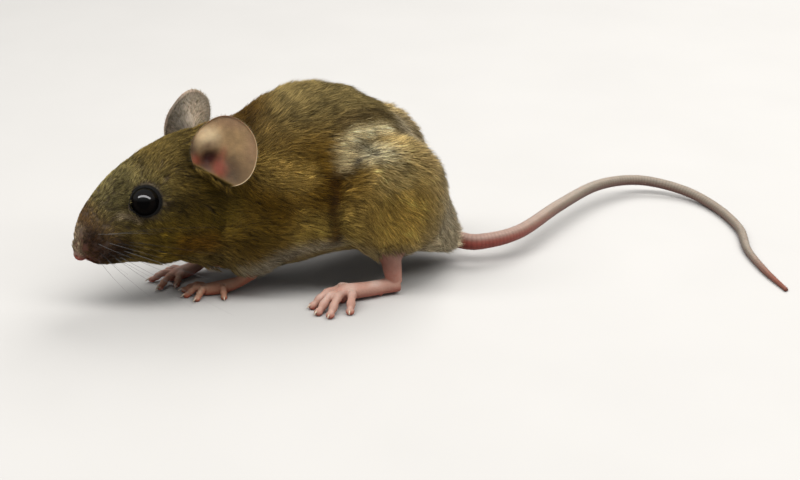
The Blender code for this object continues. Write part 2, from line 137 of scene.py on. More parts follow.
def smooth_path(points: Array | Sequence[Triple], steps: int) -> Array:
    """Points read from a Catmull-Rom curve through the given ones.

    Args:
        points: The points that the curve passes through.
        steps: How many points are read between each two.

    Returns:
        The curve's points, one a row.
    """
    knots = np.asarray(points, float)
    knots = np.vstack([2 * knots[0] - knots[1], knots, 2 * knots[-1] - knots[-2]])
    path = []
    for index in range(1, len(knots) - 2):
        before, start, end, after = knots[index - 1 : index + 3]
        for step in range(steps):
            t = step / steps
            cubic = 3 * start - before - 3 * end + after
            square = 2 * before - 5 * start + 4 * end - after
            path.append(0.5 * (2 * start + (end - before) * t + square * t * t + cubic * t**3))
    path.append(knots[-2])
    return np.array(path)


class Waves:
    """Smooth random lumps of about one size, from a handful of plane waves."""

    def __init__(self, size: float, seed: int, count: int = 12) -> None:
        """Draws the waves.

        Args:
            size: The lumps' size in millimetres.
            seed: The random seed.
            count: How many waves are summed.
        """
        random = np.random.default_rng(seed)
        turn = unit(random.normal(size=(count, 3)))
        self.steps = turn * (math.pi / size / random.uniform(0.7, 1.5, (count, 1)))
        self.starts = random.uniform(0.0, math.tau, count)

    def __call__(self, points: Array) -> Array:
        """The lumps' height, about -1 to 1, at each point."""
        return np.sin(points @ self.steps.T + self.starts).sum(1) / math.sqrt(len(self.starts))


# ---- surfaces
@dataclass
class Surface:
    """A triangle surface in the layout: its points, its triangles and what is painted on its points."""

    points: Array
    triangles: Array
    paint: dict[str, Array] = field(default_factory=dict)

    @classmethod
    def from_object(cls, source: bpy.types.Object, layout: Layout | None = None) -> Surface:
        """Reads an object's evaluated mesh.

        Args:
            source: The object, in millimetres, or in metres where a layout is given.
            layout: Where the object is a node of the frame, the layout it is read into.

        Returns:
            The surface, with points at the same place made one.
        """
        mesh = source.evaluated_get(bpy.context.evaluated_depsgraph_get()).to_mesh()
        mesh.calc_loop_triangles()
        points = np.empty(len(mesh.vertices) * 3)
        mesh.vertices.foreach_get("co", points)
        points = points.reshape(-1, 3)
        triangles = np.empty(len(mesh.loop_triangles) * 3, np.int32)
        mesh.loop_triangles.foreach_get("vertices", triangles)
        triangles = triangles.reshape(-1, 3)
        if layout is None:
            return cls(points, triangles)
        points = layout.inside(points)
        keys = np.round(points / WELD).astype(np.int64)
        _, first, which = np.unique(keys, axis=0, return_index=True, return_inverse=True)
        triangles = which.reshape(-1)[triangles]
        whole = (triangles[:, 0] != triangles[:, 1]) & (triangles[:, 1] != triangles[:, 2])
        whole &= triangles[:, 2] != triangles[:, 0]
        return cls(points[first], triangles[whole])

    @classmethod
    def grid(cls, rows: Array, closed: bool = True) -> Surface:
        """Joins equal rows of points by strips of triangles.

        Args:
            rows: Points in rows, as rows, columns and coordinates.
            closed: Whether each row runs round and meets its own start.

        Returns:
            The surface, open at its first and last rows.
        """
        high, wide = rows.shape[:2]
        columns = np.arange(wide if closed else wide - 1)
        row, column = np.meshgrid(np.arange(high - 1), columns, indexing="ij")
        after = (column + 1) % wide
        a, b = row * wide + column, row * wide + after
        c, d = b + wide, a + wide
        triangles = np.stack([np.stack([a, b, c], -1), np.stack([a, c, d], -1)], 2)
        return cls(rows.reshape(-1, 3), triangles.reshape(-1, 3).astype(np.int32))

    @classmethod
    def tube(cls, rings: Array) -> Surface:
        """A closed tube through rings of points, with a fan over each end.

        Args:
            rings: Equal rings of points, as rings, points and coordinates.

        Returns:
            The closed surface.
        """
        made = cls.grid(rings)
        count, sides = rings.shape[:2]
        ends = np.vstack([made.points, rings[0].mean(0), rings[-1].mean(0)])
        index = np.arange(sides)
        after = (index + 1) % sides
        first = np.stack([after, index, np.full(sides, count * sides)], 1)
        base = (count - 1) * sides
        last = np.stack([base + index, base + after, np.full(sides, count * sides + 1)], 1)
        return cls(ends, np.vstack([made.triangles, first, last]).astype(np.int32))

    @classmethod
    def joined(cls, parts: Sequence[Surface]) -> Surface:
        """Puts surfaces together as one, without welding them; what is painted on all of them is kept.

        Args:
            parts: The surfaces.

        Returns:
            The one surface.
        """
        starts = np.cumsum([0] + [len(each.points) for each in parts[:-1]])
        names = set(parts[0].paint).intersection(*[each.paint for each in parts])
        return cls(
            np.vstack([each.points for each in parts]),
            np.vstack([each.triangles + start for each, start in zip(parts, starts)]),
            {name: np.concatenate([each.paint[name] for each in parts]) for name in sorted(names)},
        )

    def corners(self) -> tuple[Array, Array, Array]:
        """The three corners of every triangle."""
        return tuple(self.points[self.triangles[:, place]] for place in range(3))

    def crosses(self) -> Array:
        """Every triangle's normal, as long as twice its area."""
        a, b, c = self.corners()
        return np.cross(b - a, c - a)

    def normals(self) -> Array:
        """Every point's outward direction.

        Returns:
            One direction a point.
        """
        total = np.zeros_like(self.points)
        crosses = self.crosses().T
        for corner in self.triangles.T:
            total += np.stack([np.bincount(corner, part, minlength=len(total)) for part in crosses], 1)
        return unit(total)

    def edges(self) -> Array:
        """Both ends of every triangle side, each side in both directions, as two rows."""
        sides = self.triangles[:, [0, 1, 1, 2, 2, 0]].reshape(-1, 2)
        return np.vstack([sides, sides[:, ::-1]]).T

    def spread(self, values: Array, times: int, share: float = 0.5) -> Array:
        """Evens out values, or the points themselves, between neighbouring points.

        Args:
            values: Rows of values, one for each point.
            times: How often the values are evened.
            share: How far each goes towards its neighbours' mean each time.

        Returns:
            The evened values.
        """
        start, end = self.edges()
        count = len(self.points)
        number = np.maximum(np.bincount(start, minlength=count), 1)[:, None]
        values = values.reshape(count, -1)
        for _ in range(times):
            sums = [np.bincount(start, column[end], minlength=count) for column in values.T]
            values = values + share * (np.stack(sums, 1) / number - values)
        return values

    def smoothed(self, times: int) -> Surface:
        """The surface with its points evened out, without shrinking.

        Args:
            times: How often it is evened out.

        Returns:
            The evened surface.
        """
        made = self
        for _ in range(times):
            for share in (0.6, -0.61):
                made = Surface(made.spread(made.points, 1, share), self.triangles, self.paint)
        return made

    def moved(self, distance: Array | float) -> Surface:
        """The surface with its points moved out along their normals."""
        step = np.asarray(distance).reshape(-1, 1) * self.normals()
        return Surface(self.points + step, self.triangles, self.paint)

    def outer_shell(self) -> Surface:
        """The largest connected part, without closed pockets inside it.

        Returns:
            That part alone.
        """
        label = np.arange(len(self.points))
        start, end = self.edges()
        while True:
            lowest = label.copy()
            np.minimum.at(lowest, start, label[end])
            lowest = lowest[lowest]
            if np.array_equal(lowest, label):
                break
            label = lowest
        keep = label == np.bincount(label).argmax()
        place = np.cumsum(keep) - 1
        triangles = self.triangles[keep[self.triangles[:, 0]]]
        paint = {name: values[keep] for name, values in self.paint.items()}
        return Surface(self.points[keep], place[triangles].astype(np.int32), paint)

    def modified(self, kind: str, **settings: Any) -> Surface:
        """The surface as one of Blender's modifiers makes it.

        Args:
            kind: The modifier's kind.
            **settings: Its settings.

        Returns:
            The changed surface.
        """
        helper = to_object("helper", self)
        step = helper.modifiers.new("step", kind)
        for name, value in settings.items():
            setattr(step, name, value)
        made, mesh = Surface.from_object(helper), helper.data
        bpy.data.objects.remove(helper, do_unlink=True)
        bpy.data.meshes.remove(mesh)
        return made

    def remeshed(self, voxel: float) -> Surface:
        """One skin over the surface, from cubes of this size."""
        return self.modified("REMESH", mode="VOXEL", voxel_size=voxel)

    def reduced(self, triangles: int) -> Surface:
        """The surface with about this many triangles, most of them where it is most curved."""
        return self.modified("DECIMATE", ratio=min(1.0, triangles / len(self.triangles)))


def to_object(name: str, surface: Surface, layout: Layout | None = None) -> bpy.types.Object:
    """Makes a Blender object of a surface.

    Args:
        name: The object's name.
        surface: The surface, whose paint becomes attributes of the same names.
        layout: Where given, the points go from the layout to the frame's metres.

    Returns:
        The object, shaded smooth.
    """
    mesh = bpy.data.meshes.new(name)
    points = surface.points if layout is None else layout.outside(surface.points)
    corners = np.ascontiguousarray(surface.triangles, np.int32).reshape(-1)
    mesh.vertices.add(len(points))
    mesh.vertices.foreach_set("co", np.ascontiguousarray(points, np.float32).reshape(-1))
    mesh.loops.add(len(corners))
    mesh.loops.foreach_set("vertex_index", corners)
    mesh.polygons.add(len(surface.triangles))
    mesh.polygons.foreach_set("loop_start", np.arange(0, len(corners), 3, dtype=np.int32))
    mesh.update(calc_edges=True)
    mesh.validate()
    mesh.shade_smooth()
    for title, values in surface.paint.items():
        paint_points(mesh, title, values)
    made = bpy.data.objects.new(name, mesh)
    bpy.context.scene.collection.objects.link(made)
    return made


def paint_points(mesh: bpy.types.Mesh, title: str, values: Array) -> None:
    """Keeps a colour or a number for each point of a mesh.

    Args:
        mesh: The mesh.
        title: The attribute's name.
        values: Rows of three for a colour, or single numbers.
    """
    if values.ndim == 2:
        made = mesh.attributes.new(title, "FLOAT_COLOR", "POINT")
        rows = np.hstack([values, np.ones((len(values), 1))]).astype(np.float32)
        made.data.foreach_set("color", rows.reshape(-1))
        return
    made = mesh.attributes.new(title, "FLOAT", "POINT")
    made.data.foreach_set("value", values.astype(np.float32))


def ring_tube(path: Array, radii: Array, sides: int, floor: float | None = None) -> Surface:
    """A closed round tube along a path.

    Args:
        path: The points of the tube's middle line.
        radii: The tube's radius at each point.
        sides: How many points go round it.
        floor: The level below which it is pressed flat, where there is one.

    Returns:
        The tube, with the paint "along" from 0 at its root to 1 at its tip and "round" as an angle.
    """
    ahead = unit(np.gradient(path, axis=0))
    side = np.cross(ahead[0], (0.0, 0.0, 1.0))
    if np.linalg.norm(side) < 0.2:
        side = np.cross(ahead[0], (0.0, 1.0, 0.0))
    angle = np.arange(sides) * (math.tau / sides)
    rings = []
    for point, along, radius in zip(path, ahead, radii):
        side = unit(side - along * side.dot(along))
        rise = np.cross(side, along)
        ring = point + radius * (np.cos(angle)[:, None] * side + np.sin(angle)[:, None] * rise)
        rings.append(ring)
    rows = np.array(rings)[:, ::-1]
    if floor is not None:
        rows[..., 2] = np.maximum(rows[..., 2], floor)
    made = Surface.tube(rows)
    share = np.repeat(shares(len(path)), sides)
    made.paint["along"] = np.concatenate([share, [0.0, 1.0]])
    made.paint["round"] = np.concatenate([np.tile(angle[::-1], len(path)), [0.0, 0.0]])
    return made


def ball(centre: Array, radii: Triple, turn: Array | None = None, rows: int = 24) -> Surface:
    """A ball stretched to these radii.

    Args:
        centre: Its middle.
        radii: Its three half sizes.
        turn: A rotation matrix that turns it, where it is turned.
        rows: How many rings of points it has.

    Returns:
        The closed ball.
    """
    polar = (np.arange(rows) + 0.5) * math.pi / rows
    angle = np.arange(rows * 2) * math.pi / rows
    circle = np.stack([np.cos(angle), np.sin(angle)], 1)
    rings = [np.column_stack([circle * math.sin(p), np.full(len(angle), -math.cos(p))]) for p in polar]
    made = Surface.tube(np.array(rings))
    shape = made.points * np.asarray(radii)
    made.points = (shape if turn is None else shape @ turn.T) + centre
    return made


# ---- the layout
@dataclass(frozen=True)
class Layout:
    """The mouse's own layout in millimetres, found in the frame from its eyes and nose."""

    offset: Array
    turn: float
    pivot: Triple = (-14.0, 0.0, 0.0)
    eye_ahead: float = 21.0

    @classmethod
    def from_frame(cls) -> Layout:
        """Reads the head's turn and the layout's place from the frame's boxes.

        Returns:
            The layout.
        """
        eyes = (node_middle("eye_l") + node_middle("eye_r")) / 2.0
        ahead = node_middle("nose") - eyes
        turn = math.atan2(-ahead[1], -ahead[0])
        back = np.array([math.cos(turn), math.sin(turn), 0.0]) * cls.eye_ahead
        offset = (eyes + back - np.array(cls.pivot)) * (1.0, 1.0, 0.0)
        return cls(offset, turn)

    def inside(self, metres: Array) -> Array:
        """Points of the frame, in the layout's millimetres."""
        return np.asarray(metres) / MM - self.offset

    def outside(self, points: Array) -> Array:
        """Points of the layout, in the frame's metres."""
        return (points + self.offset) * MM

    def head(self, ahead: float, out: float, up: float) -> Array:
        """A point given in the turned head's own directions.

        Args:
            ahead: How far ahead of the pivot it is.
            out: How far to the right.
            up: How high above the floor.

        Returns:
            The point in the layout.
        """
        cos, sin = math.cos(self.turn), math.sin(self.turn)
        x = self.pivot[0] - ahead * cos - out * sin
        return np.array([x, self.pivot[1] - ahead * sin + out * cos, up])

    def head_way(self, ahead: float, out: float, up: float) -> Array:
        """A direction given in the turned head's own directions."""
        return unit(self.head(ahead, out, up) - self.head(0.0, 0.0, 0.0))

    def in_head(self, points: Array) -> Array:
        """Points of the layout as ahead of the pivot, to the right and up.

        Args:
            points: The places.

        Returns:
            The same places in those directions.
        """
        cos, sin = math.cos(self.turn), math.sin(self.turn)
        x, y = points[:, 0] - self.pivot[0], points[:, 1] - self.pivot[1]
        return np.stack([-x * cos - y * sin, y * cos - x * sin, points[:, 2]], 1)

    def node(self, name: str) -> Array:
        """The middle of a node's box, in the layout."""
        return self.inside(node_middle(name) * MM)

    def eye(self, side: Side) -> Array:
        """The middle of an eyeball."""
        return self.node(f"eye_{side.letter}")


def node_middle(node: str) -> Array:
    """The middle of a node's box, in millimetres of the frame."""
    low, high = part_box(node)
    return (np.array(low) + np.array(high)) / 2.0 / MM


# ---- the palette and the coat's zones
class Shade(Enum):
    """The colours of the mouse as they look, before fur and light darken them; those whose comments say so
    are painted shade or painted light.
    """

    MUZZLE = (0.34, 0.25, 0.14)
    MUZZLE_TIP = (0.55, 0.49, 0.4)
    PAD = (0.14, 0.06, 0.02)
    NOSE_SIDE = (0.37, 0.15, 0.09)
    FACE = (0.4, 0.36, 0.22)
    LORE = (0.62, 0.55, 0.44)
    CROWN = (0.36, 0.3, 0.15)
    CHEEK = (0.41, 0.33, 0.1)
    OCHRE = (0.43, 0.26, 0.02)
    SPOT = (0.16, 0.12, 0.05)
    THROAT = (0.47, 0.39, 0.21)
    NAPE = (0.28, 0.2, 0.06)
    BACK = (0.44, 0.38, 0.23)
    FLANK = (0.41, 0.3, 0.07)
    THIGH = (0.73, 0.6, 0.3)
    HIP = (0.97, 0.89, 0.69)
    PARTING = (0.8, 0.77, 0.64)
    # painted light on the shoulder
    SHOULDER = (0.7, 0.58, 0.31)
    # painted shadow under the ears, on the neck's side and on an ear's furred lower front
    NECK_SIDE = (0.38, 0.31, 0.12)
    # lighter than the flank, partly painted light that offsets the shade the top light leaves low on the
    # flank
    FLANK_LOW = (0.68, 0.57, 0.28)
    THIGH_LOW = (0.62, 0.52, 0.3)
    THIGH_TOP = (0.75, 0.65, 0.42)
    BAND = (0.3, 0.24, 0.14)
    GAP = (0.22, 0.21, 0.2)
    RUMP = (0.73, 0.67, 0.55)
    # painted shadow in the crease in front of the thigh
    CREASE = (0.27, 0.17, 0.03)
    CHEST = (0.51, 0.45, 0.3)
    BELLY = (0.66, 0.62, 0.54)
    HEM = (0.48, 0.44, 0.35)
    SKIN = (0.36, 0.29, 0.25)
    PINK = (0.62, 0.47, 0.41)
    # deeper pink on the bare skin's underside and near the floor, partly painted shade
    PINK_DEEP = (0.6, 0.3, 0.24)
    # paler pink on the bare skin's upward faces, a painted highlight
    PINK_PALE = (0.69, 0.59, 0.54)
    NOSE = (0.46, 0.35, 0.29)
    NOSE_DEEP = (0.44, 0.14, 0.09)
    LID = (0.02, 0.015, 0.012)
    EAR_INNER = (0.52, 0.42, 0.29)
    EAR_BAND = (0.43, 0.32, 0.25)
    # painted shadow inside the ear
    EAR_SHADE = (0.21, 0.14, 0.07)
    EAR_FOLD = (0.75, 0.66, 0.52)
    EAR_PALE = (0.64, 0.57, 0.49)
    EAR_FLAP = (0.42, 0.16, 0.09)
    # the red skin of the ear canal, darkened as painted shade of the deep hole
    EAR_CANAL = (0.19, 0.03, 0.01)
    EAR_BACK = (0.57, 0.52, 0.46)
    TAIL_ROOT = (0.5, 0.22, 0.18)
    # painted highlight along the top of the tail
    TAIL_LIGHT = (0.62, 0.57, 0.52)
    TAIL_TOP = (0.44, 0.4, 0.35)
    # darker under the tail, partly painted shade
    TAIL_UNDER = (0.39, 0.27, 0.24)
    TAIL_TIP = (0.44, 0.22, 0.16)
    CLAW = (0.68, 0.61, 0.52)
    CLAW_QUICK = (0.64, 0.38, 0.31)

    @property
    def light(self) -> Array:
        """The colour in light values."""
        return linear(self.value)

    def over(self, tint: Array, share: Array | float) -> Array:
        """A tint with this colour laid over it by a share."""
        return tint * (1.0 - share) + self.light * share


class Patch(Enum):
    """The pieces that the coat is made in."""

    HEAD_L = "coat_head_l"
    HEAD_R = "coat_head_r"
    NECK_L = "coat_neck_l"
    NECK_R = "coat_neck_r"
    BACK = "coat_back"
    FLANK_L = "coat_flank_l"
    FLANK_R = "coat_flank_r"
    HAUNCH_L = "coat_haunch_l"
    HAUNCH_R = "coat_haunch_r"
    RUMP = "coat_rump"
    BELLY = "coat_belly"
    LEGS = "coat_legs"


@dataclass(frozen=True)
class Zone:
    """What the coat is like round one place, which is on both sides unless it is on the middle line."""

    place: Triple
    reach: float
    depth: float
    length: float
    width: float
    density: float
    lie: Triple
    shade: Shade
    patch: str

    @property
    def on_head(self) -> bool:
        """Whether the place is given in the turned head's directions."""
        return self.patch == "HEAD"


ZONES = (
    # place, reach, depth, length and width in mm, hairs a square mm, lie, shade, piece
    Zone((30.5, 0, 17), 4.5, 0.22, 0.9, 0.055, 52, (1, 0, 0.3), Shade.MUZZLE, "HEAD"),
    Zone((29, 3, 12.5), 4, 0.25, 1, 0.055, 52, (1, 0, 0), Shade.MUZZLE, "HEAD"),
    Zone((26, 2, 23), 6, 0.45, 1.6, 0.07, 46, (1, 0, 0.2), Shade.FACE, "HEAD"),
    Zone((21, 6, 21.7), 3.6, 0.35, 1.1, 0.06, 50, (1, 0, 0), Shade.FACE, "HEAD"),
    Zone((17, 0, 29.5), 7, 0.7, 2.2, 0.08, 40, (1, 0, 0.2), Shade.CROWN, "HEAD"),
    Zone((18, 7, 14), 6.5, 0.8, 2.2, 0.085, 38, (1, 0, -0.1), Shade.CHEEK, "HEAD"),
    Zone((9, 9, 19), 6.5, 1.1, 2.8, 0.095, 36, (1, 0, -0.2), Shade.CHEEK, "HEAD"),
    Zone((22, 0, 8), 6.5, 0.7, 2.2, 0.08, 36, (1, 0, 0), Shade.THROAT, "HEAD"),
    Zone((11, 0, 5), 7, 1, 2.8, 0.09, 32, (1, 0, 0), Shade.THROAT, "HEAD"),
    Zone((-16, 0, 33.5), 7.5, 1.7, 3.6, 0.1, 38, (1, 0, 0.6), Shade.NAPE, "NECK"),
    Zone((-14.5, 12, 18), 8.5, 1.5, 3.2, 0.1, 38, (1, 0, -0.2), Shade.FLANK, "NECK"),
    Zone((-13, 0, 3), 8, 0.9, 2.3, 0.1, 30, (1, 0, 0), Shade.CHEST, "NECK"),
    Zone((-6, 0, 37.5), 9, 1.9, 4, 0.105, 40, (1, 0, 0.2), Shade.BACK, "BACK"),
    Zone((5, 0, 36.5), 10, 1.9, 4.2, 0.105, 40, (1, 0, 0), Shade.BACK, "BACK"),
    Zone((-3, 13, 24), 9, 1.8, 3.8, 0.105, 40, (1, 0, -0.2), Shade.FLANK, "FLANK"),
    # the lower flank, lighter partly as painted light against the shade under the top light
    Zone((-3, 13, 13), 8, 1.4, 3.2, 0.1, 38, (1, 0, -0.2), Shade.FLANK_LOW, "FLANK"),
    Zone((11, 16, 18), 8.5, 1.5, 3.4, 0.1, 40, (0.75, 0, -0.6), Shade.THIGH, "HAUNCH"),
    Zone((10, 14, 26), 5, 1.6, 4, 0.11, 40, (0.9, 0, -0.4), Shade.THIGH_TOP, "HAUNCH"),
    Zone((10, 14.6, 9.5), 4.8, 0.9, 2, 0.09, 44, (0.9, 0, -0.45), Shade.THIGH_LOW, "HAUNCH"),
    Zone((17, 0, 28), 7, 1.9, 4, 0.105, 38, (0.9, 0, -0.5), Shade.RUMP, "RUMP"),
    Zone((22, 6, 15.5), 8, 2, 4, 0.11, 36, (0.45, -0.1, -0.9), Shade.RUMP, "RUMP"),
    Zone((25, 0, 9.5), 3.2, 0.9, 2.4, 0.085, 46, (0.7, 0, -0.7), Shade.RUMP, "RUMP"),
    Zone((22.5, 0, 4.5), 3.4, 0.6, 1.8, 0.085, 40, (1, 0, -0.1), Shade.RUMP, "RUMP"),
    Zone((2, 0, 5), 10, 1.1, 2.8, 0.12, 24, (1, 0, 0), Shade.BELLY, "BELLY"),
    Zone((14, 0, 4.5), 7, 1.1, 2.8, 0.11, 24, (1, 0, 0), Shade.BELLY, "BELLY"),
    Zone((-13, 6.6, 7), 3.2, 0.4, 1.5, 0.08, 38, (0.8, 0, -0.5), Shade.CHEST, "LEGS"),
    Zone((10, 12.2, 6.8), 2.6, 0.5, 1.5, 0.08, 38, (0.7, 0, -0.7), Shade.HEM, "LEGS"),
)
NEAREST = 4.0  # how sharply the nearest zone wins


@dataclass(frozen=True)
class Mark:
    """A marking, or a patch of painted shade or light: the line that it runs along, its reach in
    millimetres, its colour and strength.
    """

    line: tuple[Triple, ...]
    reach: float
    shade: Shade
    strength: float
    on_head: bool = False
    sides: tuple[Side, ...] = (Side.LEFT, Side.RIGHT)
    groove: float = 0.0

    def cover(self, layout: Layout, points: Array) -> Array:
        """How strongly the marking covers each point.

        Args:
            layout: The layout.
            points: The places.

        Returns:
            Shares from 0 to the marking's strength.
        """
        made = np.zeros(len(points))
        for side in self.sides:
            line = np.array(self.line) * (1.0, side.value, 1.0)
            if self.on_head:
                line = np.array([layout.head(*each) for each in line])
            path = smooth_path(line, 6) if len(line) > 1 else line
            near = np.sqrt(((points[:, None] - path) ** 2).sum(2).min(1))
            made = np.maximum(made, np.exp(-((near / self.reach) ** 3)))
        return made * self.strength


NEAR = (Side.LEFT,)
MARKS = (
    # painted shadow on the side of the neck, under the ear
    Mark(((-17.5, 11.5, 19), (-12.5, 12.6, 14.5)), 4, Shade.NECK_SIDE, 0.5),
    # painted light on the shoulder, where its bulge faces up
    Mark(((-11, 10.8, 26), (-5.5, 12.2, 25)), 3.4, Shade.SHOULDER, 0.6),
    Mark(((30.4, 3, 15), (28.4, 4.4, 12.4), (25.6, 5.6, 12.6)), 2.6, Shade.PAD, 0.85, True),
    Mark(((31.6, 0.8, 16), (32.8, 1, 13.6), (33, 1.6, 11.8)), 1.5, Shade.MUZZLE_TIP, 0.8, True),
    Mark(((32.2, 2.2, 10.4), (31.2, 2.6, 10.2)), 1.1, Shade.NOSE_DEEP, 0.8, True),
    Mark(((25.6, 5.1, 19.4), (23.8, 5.8, 19.2), (22.4, 6.4, 18.4)), 0.7, Shade.LORE, 0.65, True),
    Mark(((24.9, 5.2, 20.9), (24, 5.7, 21)), 0.7, Shade.SPOT, 0.7, True),
    Mark(((16.6, 7.8, 20.8),), 1, Shade.SPOT, 0.9, True),
    Mark(((14, 8.2, 12.4), (10.5, 8.6, 12.6)), 2.8, Shade.OCHRE, 0.5, True),
    Mark(((8, 9.4, 21.5), (14, 8.2, 20.5)), 2.8, Shade.SPOT, 0.5, True),
    Mark(((-16, 11, 4.4), (-10, 10.8, 7.2), (-5, 12, 9.4), (0.5, 12, 10.2)), 2.6, Shade.BELLY, 0.85),
    Mark(((19, 13, 15), (18.4, 13, 11)), 3, Shade.CHEST, 0.5),
    Mark(((3, 13.4, 9.6), (9, 14.6, 7.8), (14, 13.8, 7.6)), 2.2, Shade.HEM, 0.65),
    # painted shadow in the crease in front of the thigh, where the coat is also sunk
    Mark(
        ((0.5, 13.4, 24.4), (0.5, 13.8, 22), (0.2, 14.2, 18), (0.4, 12.2, 12)),
        1.5, Shade.CREASE, 0.9, groove=0.7,
    ),
    Mark(((2.4, 12.2, 27.2), (3, 11.2, 29.2), (4.4, 10.2, 30.6)), 2, Shade.HIP, 0.5, sides=NEAR),
    Mark(((4.6, 10, 30.9), (8, 8.6, 31.4), (10.8, 7.4, 31.1)), 1.35, Shade.HIP, 0.75, sides=NEAR),
    Mark(((3.5, 8.6, 33.6), (9, 5.2, 33.8), (14, 2, 32.2)), 1.9, Shade.BAND, 0.75, sides=NEAR),
    Mark(((6.6, 12, 28.4), (9.6, 12.3, 28), (11.6, 12.2, 27.4)), 2.1, Shade.PARTING, 0.65, sides=NEAR),
    Mark(
        ((4.4, 11.8, 29.4), (6, 11.6, 29.6), (8.6, 11.2, 29.8)),
        0.55, Shade.GAP, 0.95, sides=NEAR, groove=0.5,
    ),
    Mark(
        ((4.4, 12.7, 27.2), (6.4, 12.5, 28), (9, 12.6, 28.2)),
        0.45, Shade.GAP, 0.85, sides=NEAR, groove=0.4,
    ),
    Mark(((3.6, 13, 25.2), (4.2, 12.8, 27.2)), 0.6, Shade.GAP, 0.6, sides=NEAR, groove=0.4),
)

NOSE_WHORL = 7.0  # how far the fur follows the nose's whorl
EYE_EDGE = 2.6  # where, from its middle, an eye's whorl starts
EYE_WHORL = 1.2  # how wide that whorl is
BRIM = 2.8  # how far the fur follows an ear's lower front edge


class Lie:
    """The coat's fields: the zones' values blended over the body, and how the hair lies round the ears."""

    def __init__(self, layout: Layout, bare: Sequence[tuple[Array, float]]) -> None:
        """Sets out the zones on both sides.

        Args:
            layout: The layout.
            bare: Places and reaches of the bare feet, where the coat ends.
        """
        self.layout = layout
        self.bare = bare
        self.zones: list[tuple[Array, Zone, int]] = []
        for zone in ZONES:
            for sign in (-1, 1) if zone.place[1] else (0,):
                x, y, z = zone.place
                y *= sign
                place = layout.head(x, y, z) if zone.on_head else np.array([x, y, z])
                self.zones.append((place, zone, sign))
        self.nose = layout.node("nose")
        self.eyes = [layout.eye(side) for side in Side]
        self.ears = [Ear(layout, *each) for each in EARS]
        self.brims = [ear.brim() for ear in self.ears]

    def weights(self, points: Array) -> Array:
        """How much each zone counts at each point; a row sums to 1.

        Args:
            points: The places.

        Returns:
            A row of weights a point.
        """
        columns = [
            (np.linalg.norm(points - place, axis=1) / zone.reach + 0.05) ** -NEAREST
            for place, zone, _ in self.zones
        ]
        made = np.stack(columns, 1)
        return made / made.sum(1, keepdims=True)

    def value(self, weights: Array, name: str) -> Array:
        """One of the zones' sizes, blended."""
        return weights @ np.array([getattr(zone, name) for _, zone, _ in self.zones])

    def shade(self, points: Array, weights: Array) -> Array:
        """The zones' colours, blended, with the markings and the marks of painted shade and light over
        them.

        Args:
            points: The places.
            weights: The zones' weights there.

        Returns:
            Colours in light values.
        """
        made = weights @ np.array([zone.shade.light for _, zone, _ in self.zones])
        for mark in MARKS:
            made = mark.shade.over(made, mark.cover(self.layout, points)[:, None])
        return made

    def groove(self, points: Array) -> Array:
        """How far the coat is parted or sunk at each point, from 0 to 1."""
        sunk = [mark.cover(self.layout, points) * mark.groove for mark in MARKS if mark.groove]
        return np.max(sunk, axis=0)

    def cover(self, points: Array) -> Array:
        """How furred each point is, from 0 on the bare feet to 1.

        Args:
            points: The places.

        Returns:
            One share a point.
        """
        made = np.ones(len(points))
        for place, reach in self.bare:
            made *= ease(0.75, 1.15, np.linalg.norm(points - place, axis=1) / reach)
        return made

    def depth(self, points: Array) -> Array:
        """How deep the coat is over each point, in millimetres."""
        return self.value(self.weights(points), "depth") * self.cover(points)

    def way(self, points: Array, normals: Array, weights: Array) -> Array:
        """The direction that hair takes along the skin.

        Args:
            points: The hairs' roots.
            normals: The skin's outward directions there.
            weights: The zones' weights there.

        Returns:
            Directions of length one along the skin.
        """
        lies = np.array([(zone.lie[0], zone.lie[1] * sign, zone.lie[2]) for _, zone, sign in self.zones])
        flow = weights @ lies
        away = points - self.nose
        near = np.exp(-((np.linalg.norm(away, axis=1, keepdims=True) / NOSE_WHORL) ** 2))
        flow = flow * (1.0 - near) + unit(away) * near * 1.5
        for eye in self.eyes:
            away = points - eye
            distance = np.linalg.norm(away, axis=1, keepdims=True)
            near = np.exp(-(((distance - EYE_EDGE) / EYE_WHORL) ** 2))
            flow = flow + unit(away) * near * 0.8
        for place, way in self.brims:
            near = np.exp(-((np.linalg.norm(points - place, axis=1, keepdims=True) / BRIM) ** 2))
            flow = flow * (1.0 - near) + way * near
        flow = flow - normals * (flow * normals).sum(1, keepdims=True)
        return unit(flow)


# ---- shading tools
class Signal:
    """A value in a material's node tree that can be reckoned with."""

    def __init__(self, tree: bpy.types.NodeTree, socket: bpy.types.NodeSocket) -> None:
        """Wraps an output socket of the tree."""
        self.tree = tree
        self.socket = socket

    def _math(self, operation: str, first: Signal | float, second: Signal | float) -> Signal:
        """Adds a Math node."""
        return add_node(self.tree, "ShaderNodeMath", {"operation": operation}, {0: first, 1: second})

    def __add__(self, other: Signal | float) -> Signal:
        """Sum."""
        return self._math("ADD", self, other)

    __radd__ = __add__

    def __sub__(self, other: Signal | float) -> Signal:
        """Difference."""
        return self._math("SUBTRACT", self, other)

    def __rsub__(self, other: float) -> Signal:
        """Difference from a number."""
        return self._math("SUBTRACT", other, self)

    def __mul__(self, other: Signal | float) -> Signal:
        """Product."""
        return self._math("MULTIPLY", self, other)

    __rmul__ = __mul__


def add_node(
    tree: bpy.types.NodeTree, kind: str, settings: Values, inputs: Values, output: str | int = 0
) -> Signal:
    """Adds any node.

    Args:
        tree: The material's node tree.
        kind: The node's type.
        settings: Properties that are set first.
        inputs: Values or signals for its sockets, by name or number.
        output: The socket that is handed back.

    Returns:
        The signal of that output.
    """
    node = tree.nodes.new(kind)
    for name, value in settings.items():
        setattr(node, name, value)
    for name, value in inputs.items():
        if isinstance(value, Signal):
            tree.links.new(value.socket, node.inputs[name])
        else:
            node.inputs[name].default_value = value
    return Signal(tree, node.outputs[output])


